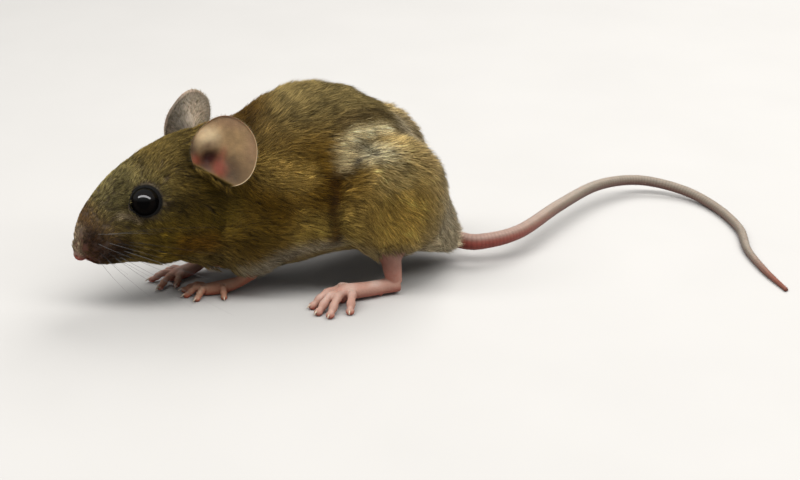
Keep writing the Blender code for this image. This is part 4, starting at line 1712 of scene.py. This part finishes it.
# ---- skin
@dataclass(frozen=True)
class Skin(Part):
    """The one skin over head, trunk, legs, feet, ears and tail."""

    lie: Lie
    flesh: tuple[str, ...] = ("head", "neck", "trunk", "shoulder_l", "shoulder_r", "thigh_l", "thigh_r")
    lower_legs: tuple[str, ...] = ("forearm_l", "forearm_r", "shank_l", "shank_r")
    inflate: float = 0.24
    rough_voxel: float = 0.45
    fine_voxel: float = 0.17
    triangles: int = 140000
    inset: float = 0.75
    eye_radius: float = 2.6
    lid_radius: float = 2.52
    lid_width: float = 0.24
    lid_lift: float = 0.62
    lid_edge: Pair = (3.25, 2.9)
    mouth: tuple[Triple, ...] = ((32.6, 0.0, 9.6), (31.0, 1.6, 8.9), (28.4, 3.0, 8.9), (25.6, 4.3, 9.5))
    nose_turn: float = math.radians(-35.0)
    nose_radii: Triple = (1.4, 1.75, 1.25)
    bridge: Triple = (31.6, 0.0, 12.1)
    bridge_radius: float = 1.95
    # painted shadow on the near forefoot and on the shanks above the heels
    near_hand: Triple = (0.12, 0.22, 0.36)  # by how much its colours are darker
    shank: float = 0.36

    def rough(self, nodes: Nodes) -> Surface:
        """The flesh solids as one form, drawn in by the depth of the coat.

        Args:
            nodes: The frame's nodes.

        Returns:
            The form that the fine skin starts from.
        """
        names = (*self.flesh, *self.lower_legs, "nose")
        parts = [Surface.from_object(nodes[name], self.layout).moved(self.inflate) for name in names]
        parts += [ball(self.layout.eye(side), (self.eye_radius,) * 3, rows=16) for side in Side]
        form = Surface.joined(parts).remeshed(self.rough_voxel).outer_shell().smoothed(14)
        steps = 4
        for _ in range(steps):
            depth = self.inflate + self.inset * self.lie.depth(form.points) + self.lie.groove(form.points)
            form = form.moved(-form.spread(depth / steps, 4)[:, 0]).smoothed(2)
        return form

    def lids(self) -> list[Surface]:
        """A soft ring of lid round each eye.

        Returns:
            One closed ring an eye.
        """
        made = []
        angle = np.linspace(0.0, math.tau, 48, endpoint=False)
        for side in Side:
            facing = self.layout.head_way(0.3, 0.86 * side.value, 0.36)
            rise = unit(np.array([0.0, 0.0, 1.0]) - facing * facing[2])
            front = np.cross(rise, facing)
            middle = self.layout.eye(side) + facing * self.lid_lift
            corner = 0.45 * bump_at(np.angle(np.exp(1j * (angle + 0.35))), 0.0, 0.32)
            radius = (self.lid_radius + corner)[:, None]
            ahead = front * side.value
            path = middle + radius * (np.cos(angle)[:, None] * ahead + np.sin(angle)[:, None] * rise)
            around = np.arange(12) * (math.pi / 6)
            out = unit(path - middle)
            rings = path[:, None] + self.lid_width * (
                np.cos(around)[None, :, None] * out[:, None] + np.sin(around)[None, :, None] * facing
            )
            made.append(Surface.grid(np.concatenate([rings, rings[:1]])))
        return made

    def nose_pad(self) -> Surface:
        """The bare pad of the nose."""
        tip = Matrix.Rotation(self.layout.turn, 3, "Z") @ Matrix.Rotation(self.nose_turn, 3, "Y")
        return ball(self.layout.node("nose"), self.nose_radii, np.array(tip), rows=20)

    def fine(self, rough: Surface) -> Surface:
        """The fine skin with lids, nose, mouth and feet.

        Args:
            rough: The rough form.

        Returns:
            The fine skin.
        """
        bridge = ball(self.layout.head(*self.bridge), (self.bridge_radius,) * 3)
        parts = [rough, bridge, self.nose_pad(), *self.lids(), *[foot.form() for foot in FEET]]
        form = Surface.joined(parts).remeshed(self.fine_voxel).outer_shell().smoothed(3)
        return self.carved(form).reduced(self.triangles)

    def carved(self, form: Surface) -> Surface:
        """The skin with the mouth line, the cleft of the lip and the nostrils pressed in.

        Args:
            form: The fine skin.

        Returns:
            The carved skin.
        """
        local = self.layout.in_head(form.points)
        mirrored = local * (1.0, 0.0, 1.0) + np.abs(local) * (0.0, 1.0, 0.0)
        push = np.zeros(len(local))
        line = smooth_path(self.mouth, 8)
        near = np.linalg.norm(mirrored - line[:, None], axis=2).min(0)
        push += 0.34 * np.exp(-((near / 0.26) ** 2))
        centre = self.layout.in_head(self.layout.node("nose")[None])[0]
        cleft = (mirrored[:, 1] / 0.16) ** 2 + ((mirrored[:, 2] - centre[2] + 1.5) / 1.3) ** 2
        push += 0.28 * np.exp(-cleft) * (mirrored[:, 0] > centre[0] - 1.5)
        nostril = (mirrored - (centre + (0.95, 0.95, -0.15))) / (0.7, 0.34, 0.3)
        push += 0.55 * np.exp(-(nostril**2).sum(1))
        return form.moved(-push)

    def painted(self, form: Surface) -> Surface:
        """The skin with its colours: the coat's markings, pink feet with painted shade under them and
        painted highlights on top, painted shadow on the near hand and the shanks, red nose and dark lids.

        Args:
            form: The fine skin.

        Returns:
            The painted skin.
        """
        points = form.points
        normals = form.normals()
        weights = self.lie.weights(points)
        cover = self.lie.cover(points)[:, None]
        tint = self.lie.shade(points, weights) * 0.35 + Shade.SKIN.light * 0.3
        # the bare skin's pink, with partly painted shade underneath and near the floor and a painted
        # highlight on its upward faces
        under = ease(0.3, -0.6, normals[:, 2:3])
        pink = Shade.PINK_DEEP.over(Shade.PINK.light, 0.6 * under)
        low = ease(1.3, 0.4, points[:, 2:3]) * (0.4 + 0.3 * Waves(1.4, SEED + 20)(points)[:, None])
        pink = Shade.PINK_DEEP.over(pink, low)
        cloud = np.clip(0.35 + 0.4 * Waves(1.8, SEED + 21)(points), 0.0, 1.0)[:, None]
        pink = Shade.PINK_PALE.over(pink, ease(0.3, 0.95, normals[:, 2:3]) * cloud)
        # painted shadow on the near forefoot
        near_hand = ease(-5.0, -9.0, points[:, 0:1]) * ease(2.0, -2.0, points[:, 1:2])
        pink = pink * (1.0 - near_hand * np.array(self.near_hand))
        # painted shadow on the shanks above the heels
        shank = ease(0.0, 3.0, points[:, 0:1]) * ease(3.8, 6.5, points[:, 2:3])
        pink = pink * (1.0 - self.shank * shank)
        tint = tint * cover + pink * (1.0 - cover)
        nose = self.layout.node("nose")
        near = np.linalg.norm(points - nose, axis=1, keepdims=True)
        moist = ease(2.4, 1.6, near)
        deep = ease(0.5, -0.8, points[:, 2:3] - nose[2])
        tint = Shade.NOSE_SIDE.over(tint, ease(6.0, 2.2, near) * 0.6 * (1.0 - moist))
        tint = tint * (1.0 - moist) + Shade.NOSE_DEEP.over(Shade.NOSE.light, deep) * moist
        lids = np.zeros(len(points))
        for side in Side:
            distance = np.linalg.norm(points - self.layout.eye(side), axis=1, keepdims=True)
            lid = ease(*self.lid_edge, distance)
            tint = Shade.LID.over(tint, lid)
            lids += lid[:, 0]
        dull = 0.66 - 0.2 * moist[:, 0] + 0.28 * lids
        return Surface(points, form.triangles, {"tint": tint, "dull": dull})

    def build(self, nodes: Nodes) -> Surface:
        """Makes the skin and hands it to the frame.

        Args:
            nodes: The frame's nodes.

        Returns:
            The furred part of the skin, for the coat to grow from.
        """
        body = self.painted(self.fine(self.rough(nodes)))
        tail = Tail().form()
        ears = [ear.form() for ear in self.lie.ears]
        piece = to_object("skin", Surface.joined([body, tail, *ears]), self.layout)
        SkinFinish().dress(piece)
        feet = [foot.node for foot in FEET]
        tails = [name for name in nodes if name.startswith("tail_")]
        limbs = [*self.lower_legs, *feet, *sorted(tails)]
        settle(piece, "coat", [*self.flesh, *limbs, "nose", "ear_l", "ear_r"])
        return body


# ---- hairs
BAKE_MAP = "OFBake"
PATCH_SIZE = 0.003
KNEE = 0.38  # the share of a hair's length where it bends and is widest


@dataclass
class Hairs:
    """Many hairs: roots, first and last directions, lengths, widths, colours and places in the bake map."""

    roots: Array
    rise: Array
    bend: Array
    length: Array
    width: Array
    tints: Array
    spot: Array | None = None

    def __post_init__(self) -> None:
        """Works out where each hair bends and ends."""
        length = self.length[:, None]
        self.middle = self.roots + self.rise * length * KNEE
        self.tip = self.middle + self.bend * length * (1.0 - KNEE)

    def gather(self, point: Array, share: Array) -> None:
        """Draws the hairs' tips towards their tufts' points by a share."""
        self.tip = self.tip + (point - self.tip) * share[:, None]
        self.middle = self.middle + (point - self.tip) * share[:, None] * 0.25

    def keep(self, chosen: Array) -> None:
        """Drops the hairs that aren't chosen."""
        for name, values in vars(self).items():
            setattr(self, name, values[chosen])

    def surface(self, random: Random) -> Surface:
        """Every hair as a closed spindle: a buried root, a ring of three points and a tip.

        Args:
            random: Random numbers, for each spindle's roll.

        Returns:
            The surface.
        """
        count = len(self.roots)
        across = unit(np.cross(self.rise, self.bend + random.normal(0.0, 0.3, (count, 3))))
        other = np.cross(self.rise, across)
        roll = random.uniform(0.0, math.tau, count)
        points = np.empty((count, 5, 3))
        points[:, 0] = self.roots
        points[:, 4] = self.tip
        for index in range(3):
            angle = (roll + index * math.tau / 3.0)[:, None]
            reach = (np.cos(angle) * across + np.sin(angle) * other) * self.width[:, None] / 2.0
            points[:, 1 + index] = self.middle + reach
        pattern = np.array([(2, 1, 0), (3, 2, 0), (1, 3, 0), (1, 2, 4), (2, 3, 4), (3, 1, 4)])
        triangles = (np.arange(count)[:, None, None] * 5 + pattern).reshape(-1, 3)
        tint = np.stack([self.tints[:, 0], *[self.tints[:, 1]] * 3, self.tints[:, 2]], 1)
        return Surface(points.reshape(-1, 3), triangles.astype(np.int32), {"tint": tint.reshape(-1, 3)})

    def piece(self, name: str, layout: Layout, random: Random) -> bpy.types.Object:
        """Makes one object of the hairs, with a bake map: each tuft is a small patch at its root's place.

        Args:
            name: The object's name.
            layout: The layout.
            random: Random numbers.

        Returns:
            The object.
        """
        made = to_object(name, self.surface(random), layout)
        place = np.empty((len(self.roots), 5, 2))
        place[:, :, 0] = random.uniform(-0.35, 0.35, (len(place), 1))
        place[:, :, 0] += np.array([0.0, -0.12, 0.0, 0.12, 0.0])
        place[:, :, 1] = np.array([0.0, KNEE, KNEE, KNEE, 1.0]) - 0.5
        spot = PATCH_SIZE + self.spot * (1.0 - 2.0 * PATCH_SIZE)
        flat = (spot[:, None] + place * PATCH_SIZE).reshape(-1, 2)
        layer = made.data.uv_layers.new(name=BAKE_MAP)
        corners = np.empty(len(made.data.loops), np.int32)
        made.data.loops.foreach_get("vertex_index", corners)
        layer.data.foreach_set("uv", flat[corners].astype(np.float32).reshape(-1))
        return made


@dataclass(frozen=True)
class Coat(Part):
    """The fur: tufts of hairs over the furred skin, in pieces."""

    lie: Lie
    each: int = 6
    spread: float = 0.28
    clump: float = 0.55
    dark_share: float = 0.32
    pale_share: float = 0.2
    guard: float = 0.03
    floor_gap: float = 0.2
    brim_tufts: int = 150
    nose_bare: float = 1.7
    eye_bare: float = 2.9

    def roots(self, skin: Surface, random: Random) -> tuple[Array, Array]:
        """Scatters the tufts over the furred skin.

        Args:
            skin: The skin.
            random: Random numbers.

        Returns:
            The tufts' places and the skin's outward directions there.
        """
        a, b, c = skin.corners()
        middle = (a + b + c) / 3.0
        area = np.linalg.norm(skin.crosses(), axis=1) / 2.0
        density = self.lie.value(self.lie.weights(middle), "density") / self.each
        density *= np.maximum(self.lie.cover(middle), 0.0)
        bare = self.lie.nose + self.layout.head_way(0.7, 0.0, -0.7) * 0.8
        density[np.linalg.norm(middle - bare, axis=1) < self.nose_bare] = 0.0
        for eye in self.lie.eyes:
            density[np.linalg.norm(middle - eye, axis=1) < self.eye_bare] = 0.0
        share = area * density
        count = int(share.sum())
        face = random.choice(len(share), count, p=share / share.sum())
        first, second = random.uniform(size=(2, count, 1))
        flip = first + second > 1.0
        first, second = np.where(flip, 1.0 - first, first), np.where(flip, 1.0 - second, second)
        place = a[face] + (b[face] - a[face]) * first + (c[face] - a[face]) * second
        normals = skin.spread(skin.normals(), 6)
        corner = skin.triangles[face]
        normal = normals[corner[:, 0]] * (1 - first - second) + normals[corner[:, 1]] * first
        normal = unit(normal + normals[corner[:, 2]] * second)
        free = ~np.any([ear.holds(place + normal * 0.3) for ear in self.lie.ears], axis=0)
        brims = [ear.brim_roots(self.brim_tufts, random) for ear in self.lie.ears]
        place = np.vstack([place[free], *[each[0] for each in brims]])
        return place, np.vstack([normal[free], *[each[1] for each in brims]])

    def hairs(self, place: Array, normal: Array, random: Random) -> Hairs:
        """Grows each tuft's hairs.

        Args:
            place: The tufts' places.
            normal: The skin's outward directions there.
            random: Random numbers.

        Returns:
            All the hairs, tuft by tuft.
        """
        tufts = len(place)
        weights = self.lie.weights(place)
        flow = self.lie.way(place, normal, weights)
        swirl = 0.3 * Waves(5.0, SEED + 1)(place) + 0.2 * Waves(1.8, SEED + 2)(place)
        flow = turned(flow, normal, swirl + random.normal(0.0, 0.12, tufts))
        size = self.lie.value(weights, "length") * random.uniform(0.82, 1.12, tufts)
        swell = 1.0 + 0.1 * Waves(2.5, SEED + 3)(place)
        depth = np.maximum(self.lie.value(weights, "depth"), 0.15) * swell
        sunk = self.lie.groove(place)
        size, depth = size * (1.0 - 0.45 * sunk), depth * (1.0 - 0.7 * sunk)
        slope = np.arcsin(np.clip(depth / size, 0.1, 0.75))
        tip = place + leaned(flow, normal, slope) * size[:, None]
        shade = self.lie.shade(place * 0.3 + tip * 0.7, weights)
        which = np.repeat(np.arange(tufts), self.each)
        count = len(which)
        width = self.lie.value(weights, "width")[which]
        beside = np.cross(normal, flow)
        jitter = random.normal(0.0, self.spread, (count, 2)) * (width / 0.11)[:, None]
        roots = place[which] + flow[which] * jitter[:, :1] + beside[which] * jitter[:, 1:]
        roots -= normal[which] * 0.12
        own = turned(flow[which], normal[which], random.normal(0.0, 0.2, count))
        steep = np.clip(slope[which] * random.uniform(1.2, 1.7, count) + 0.08, 0.0, 1.3)
        shallow = slope[which] * random.uniform(0.35, 0.8, count)
        rise = leaned(own, normal[which], steep)
        bend = leaned(own, normal[which], shallow)
        length = size[which] * random.uniform(0.78, 1.1, count)
        guard = random.uniform(size=count) < self.guard
        length = np.where(guard, length * 1.12, length)
        tints = self.tints(place, shade, which, random)
        hairs = Hairs(roots, rise, bend, length, width * random.uniform(0.75, 1.2, count), tints)
        hairs.gather(tip[which], random.uniform(0.15, 1.0, count) * self.clump)
        return hairs

    def tints(self, place: Array, shade: Array, which: Array, random: Random) -> Array:
        """Root, middle and tip colours: dark underfur, a banded middle and pale or dark tips.

        Args:
            place: The tufts' places.
            shade: The tufts' colours.
            which: Each hair's tuft.
            random: Random numbers.

        Returns:
            Three colours for each hair.
        """
        cloud = 0.15 * Waves(2.6, SEED + 4)(place) + 0.22 * Waves(0.8, SEED + 5)(place)
        shade = shade * (1.0 + cloud)[:, None]
        shade = shade * random.uniform(0.65, 1.38, (len(place), 1))
        shade = np.clip(shade, 0.004, 0.95)[which]
        kind = random.uniform(size=len(which))[:, None]
        dark = kind < self.dark_share
        pale = kind > 1.0 - self.pale_share
        middle = np.where(dark, shade * 0.45, np.where(pale, shade * 1.4, shade))
        tip = np.where(dark, shade * 0.28, np.where(pale, shade * 1.9, shade * 1.15))
        grey = shade.mean(1, keepdims=True)
        root = (shade * 0.5 + grey * 0.5) * 0.4
        return np.clip(np.stack([root, middle, tip], 1), 0.002, 0.95)

    def patches(self, place: Array) -> Array:
        """The name of the piece that each tuft belongs to.

        Args:
            place: The tufts' places.

        Returns:
            One name a tuft.
        """
        nearest = self.lie.weights(place).argmax(1)
        base = np.array([zone.patch for _, zone, _ in self.lie.zones])[nearest]
        on_head = np.array([zone.on_head for _, zone, _ in self.lie.zones])[nearest]
        across = np.where(on_head, self.layout.in_head(place)[:, 1], place[:, 1])
        sided = np.char.add(base, np.where(across < 0.0, "_L", "_R"))
        return np.where(np.isin(sided, [patch.name for patch in Patch]), sided, base)

    def unwrap(self, place: Array) -> Array:
        """The tufts' places on an unwrap of the body: along it, and round its middle line.

        Args:
            place: The tufts' places.

        Returns:
            Places from 0 to 1 across the map.
        """
        axis = 17.0 - 5.0 * ease(-20.0, -45.0, place[:, 0])
        angle = np.arctan2(place[:, 1] - self.layout.pivot[1], place[:, 2] - axis)
        flat = np.stack([place[:, 0], angle], 1)
        low, high = flat.min(0), flat.max(0)
        return (flat - low) / (high - low)

    def build(self, skin: Surface) -> None:
        """Grows the coat and hands its pieces to the frame.

        Args:
            skin: The skin.
        """
        random = np.random.default_rng(SEED)
        place, normal = self.roots(skin, random)
        names = self.patches(place)
        spots = self.unwrap(place)
        finish = HairFinish()
        for patch in Patch:
            chosen = names == patch.name
            hairs = self.hairs(place[chosen], normal[chosen], random)
            hairs.spot = np.repeat(spots[chosen], self.each, axis=0)
            hairs.keep(hairs.tip[:, 2] > self.floor_gap)
            hairs.keep(~np.any([ear.holds(hairs.tip) for ear in self.lie.ears], axis=0))
            piece = hairs.piece(patch.value, self.layout, random)
            finish.dress(piece)
            settle(piece, "coat")


def leaned(own: Array, normal: Array, slope: Array) -> Array:
    """Directions along the skin, raised from it by these angles."""
    return own * np.cos(slope)[:, None] + normal * np.sin(slope)[:, None]


def turned(ways: Array, axes: Array, angles: Array) -> Array:
    """Turns directions that lie across their axes."""
    cos, sin = np.cos(angles)[:, None], np.sin(angles)[:, None]
    return ways * cos + np.cross(axes, ways) * sin


@dataclass(frozen=True)
class Fuzz(Part):
    """Short, fine hair on the ears and the tail."""

    ear_hairs: int = 2600
    ear_size: tuple[float, ...] = (0.7, 0.045, 0.4, 2.2)
    tail_each: int = 6
    tail_size: tuple[float, ...] = (0.8, 0.03, 0.3, 0.0)

    def piece(self, name: str, laid: Four, size: tuple[float, ...], shade: Shade, random: Random) -> None:
        """Lays hairs along bare skin and hands them to the frame.

        Args:
            name: The piece's name.
            laid: Roots, outward directions, lies and bake places.
            size: Length and width, slope in radians, and how much longer the first hairs are.
            shade: The hairs' colour.
            random: Random numbers.
        """
        roots, normal, along, spot = laid
        count = len(roots)
        own = turned(along, normal, random.normal(0.0, 0.25, count))
        steep = size[2] * random.uniform(0.9, 1.5, count)
        rise, bend = leaned(own, normal, steep), leaned(own, normal, steep * 0.5)
        ahead = np.cos(spot[:, :1] * math.tau)
        tint = shade.light * random.uniform(0.6, 1.2, (count, 1)) * (1.0 - 0.55 * ease(-0.1, 0.7, ahead))
        tints = np.clip(np.stack([tint * 0.8, tint, tint * 1.15], 1), 0.0, 0.95)
        length = size[0] * random.uniform(0.6, 1.2, count) * (1.0 + size[3] * (1.0 - spot[:, 1]) ** 2)
        hairs = Hairs(roots - normal * 0.03, rise, bend, length, np.full(count, size[1]), tints, spot)
        hairs.keep(hairs.tip[:, 2] > 0.05)
        made = hairs.piece(name, self.layout, random)
        HairFinish(f"{name}_hair").dress(made)
        settle(made, name.split("_")[0] + "_skin")

    def build(self, ears: Sequence[Ear]) -> None:
        """Makes the fuzz of ears and tail.

        Args:
            ears: The ears.
        """
        random = np.random.default_rng(SEED + 9)
        for ear in ears:
            laid = ear.fuzz_roots(self.ear_hairs, random)
            self.piece(f"ear_fuzz_{ear.side.letter}", laid, self.ear_size, Shade.HEM, random)
        laid = Tail().hair_roots(self.tail_each, random)
        self.piece("tail_fuzz", laid, self.tail_size, Shade.EAR_BACK, random)


@dataclass(frozen=True)
class Whiskers(Part):
    """Long, fine whiskers in rows on the muzzle."""

    rows: int = 4
    in_row: int = 4
    sides: int = 6
    steps: int = 14
    thick: float = 0.034
    front: Triple = (29.8, 3.2, 11.2)  # the foremost one's root: ahead, outward and up
    apart: Pair = (1.25, 1.45)
    length: float = 9.0
    longer: float = 3.2  # by how much each is longer than the one before it

    def line(self, root: Array, way: Array, length: float, droop: float) -> tuple[Array, Array]:
        """One whisker's bent line and its radii.

        Args:
            root: Where it grows.
            way: The way it sets out.
            length: Its length.
            droop: How far it droops.

        Returns:
            The line's points and the radii.
        """
        share = shares(self.steps)[:, None]
        path = root + way * length * share + np.array([0.28, 0.0, -droop]) * length * share**2
        path[:, 2] = np.maximum(path[:, 2], 0.3)
        return path, self.thick * (1.0 - 0.9 * share[:, 0])

    def build(self) -> None:
        """Makes every whisker and hands them to the frame."""
        random = np.random.default_rng(SEED + 12)
        parts = []
        for side in Side:
            for row in range(self.rows):
                for place in range(self.in_row):
                    ahead = self.front[0] - self.apart[0] * place + random.normal(0.0, 0.12)
                    out = self.front[1] + 0.42 * place - 0.25 * row
                    up = self.front[2] + self.apart[1] * row + random.normal(0.0, 0.12)
                    root = self.layout.head(ahead, out * side.value, up)
                    way = self.layout.head_way(-0.15 - 0.22 * place, side.value, -0.35 + 0.26 * row)
                    length = self.length + self.longer * place + random.uniform(-1.0, 1.5)
                    whisker = ring_tube(*self.line(root, way, length, 0.18 - 0.03 * row), self.sides)
                    tint = np.where(random.uniform() < 0.5, 0.03, 0.14) * np.ones((len(whisker.points), 3))
                    parts.append(Surface(whisker.points, whisker.triangles, {"tint": tint}))
        piece = to_object("whiskers", Surface.joined(parts), self.layout)
        HairFinish("whisker_hair").dress(piece)
        settle(piece, "coat")


# ---- eyes and claws
@dataclass(frozen=True)
class Eye(Part):
    """A dark, bulging eyeball."""

    side: Side
    radius: float = 2.58
    bulge: float = 0.1
    black: Triple = (0.0016, 0.0014, 0.0014)
    brown: Triple = (0.0018, 0.0012, 0.0008)

    def build(self) -> None:
        """Makes the eye and hands it to the frame."""
        centre = self.layout.eye(self.side)
        facing = self.layout.head_way(0.35, 0.86 * self.side.value, 0.3)
        made = ball(centre, (self.radius,) * 3, rows=40)
        outward = unit(made.points - centre)
        front = (outward @ facing)[:, None]
        made.points = made.points + outward * self.bulge * ease(0.75, 1.0, front)
        iris = ease(0.62, 0.75, front) * ease(0.93, 0.86, front)
        made.paint["tint"] = np.array(self.black) + iris * np.array(self.brown)
        # coat only on the upper part of the eye: a painted mask that keeps the lights' reflection there and
        # none of the floor below
        made.paint["wet"] = 0.03 + 0.97 * ease(0.32, 0.55, outward[:, 2])
        piece = to_object(f"eyeball_{self.side.letter}", made, self.layout)
        EyeFinish().dress(piece)
        settle(piece, "eye", [f"eye_{self.side.letter}"])


@dataclass(frozen=True)
class Claws(Part):
    """The claws of all the feet, one piece a foot."""

    feet: tuple[Foot, ...] = FEET

    def build(self) -> None:
        """Makes the claws and hands them to the frame."""
        finish = ClawFinish()
        for foot in self.feet:
            piece = to_object(f"claws_{foot.kind}_{foot.side.letter}", foot.claws(), self.layout)
            finish.dress(piece)
            numbers = range(1, len(foot.toes) + 1)
            settle(piece, "claw", [f"{foot.kind}_claw_{foot.side.letter}_{number}" for number in numbers])


# ---- stage
@dataclass(frozen=True)
class Lamp:
    """A soft light panel: place and size in metres, power in watts, and whether it shows in the eyes."""

    name: str
    place: Triple
    size: Pair
    power: float
    glints: bool = True


LAMPS = (
    Lamp("strip", (-0.05, -0.15, 0.52), (1.4, 0.19), 8.0),
    Lamp("behind", (0.26, 0.24, 0.44), (0.45, 0.35), 3.6, glints=False),
)


@dataclass(frozen=True)
class Stage:
    """Floor, lights and camera, placed from the model's own box."""

    azimuth: float = -12.0
    elevation: float = 24.5
    distance: float = 2.012  # times the model's length
    aim: Triple = (0.442, 0.287, 0.284)  # shares of the model's box
    lens: float = 65.6
    floor_size: float = 3.0
    sky: float = 0.3
    sky_tint: tuple[float, ...] = (0.95, 0.97, 1.0, 1.0)

    def camera(self, low: Vector, high: Vector) -> None:
        """Sets up the camera.

        Args:
            low: The model's lowest corner.
            high: Its highest corner.
        """
        turn, rise = math.radians(self.azimuth), math.radians(self.elevation)
        back = Vector((math.sin(turn) * math.cos(rise), -math.cos(turn) * math.cos(rise), math.sin(rise)))
        aim = Vector([a + (b - a) * share for a, b, share in zip(low, high, self.aim)])
        camera = bpy.data.cameras.new("camera")
        camera.lens = self.lens
        camera.clip_start = 0.01
        placed = bpy.data.objects.new("camera", camera)
        placed.location = aim + back * ((high.x - low.x) * self.distance)
        placed.rotation_euler = (math.pi / 2.0 - rise, 0.0, turn)
        bpy.context.scene.collection.objects.link(placed)
        bpy.context.scene.camera = placed

    def light(self, lamp: Lamp, aim: Triple) -> None:
        """Adds a soft light panel that points at a place.

        Args:
            lamp: The panel.
            aim: The place.
        """
        panel = bpy.data.lights.new(lamp.name, "AREA")
        panel.shape = "RECTANGLE"
        panel.size, panel.size_y = lamp.size
        panel.energy = lamp.power
        placed = bpy.data.objects.new(lamp.name, panel)
        placed.location = lamp.place
        placed.visible_glossy = lamp.glints
        placed.rotation_euler = (Vector(lamp.place) - Vector(aim)).to_track_quat("Z", "Y").to_euler()
        bpy.context.scene.collection.objects.link(placed)

    def build(self) -> None:
        """Makes floor, lights, world and camera."""
        low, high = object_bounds()
        half = self.floor_size / 2.0
        rows = np.array([[(-half, -half, 0), (half, -half, 0)], [(-half, half, 0), (half, half, 0)]], float)
        floor = to_object("floor", Surface.grid(rows, closed=False))
        FloorFinish().dress(floor)
        floor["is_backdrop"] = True
        middle = tuple((low + high) / 2.0)
        for lamp in LAMPS:
            self.light(lamp, middle)
        world = bpy.data.worlds.new("world")
        world.use_nodes = True
        ground = world.node_tree.nodes["Background"]
        ground.inputs["Color"].default_value = self.sky_tint
        ground.inputs["Strength"].default_value = self.sky
        bpy.context.scene.world = world
        bpy.context.scene.view_settings.view_transform = "Standard"
        self.camera(low, high)


def main() -> None:
    """Loads the frame and builds the mouse round it."""
    logging.basicConfig(level=logging.INFO, format="%(name)s %(message)s")
    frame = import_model()
    Stage().build()
    layout = Layout.from_frame()
    lie = Lie(layout, [place for foot in FEET for place in foot.bare()])
    body = Skin(layout, lie).build(frame["nodes"])
    for side in Side:
        Eye(layout, side).build()
    Claws(layout).build()
    Coat(layout, lie).build(body)
    Fuzz(layout).build(lie.ears)
    Whiskers(layout).build()


if __name__ == "__main__":
    main()
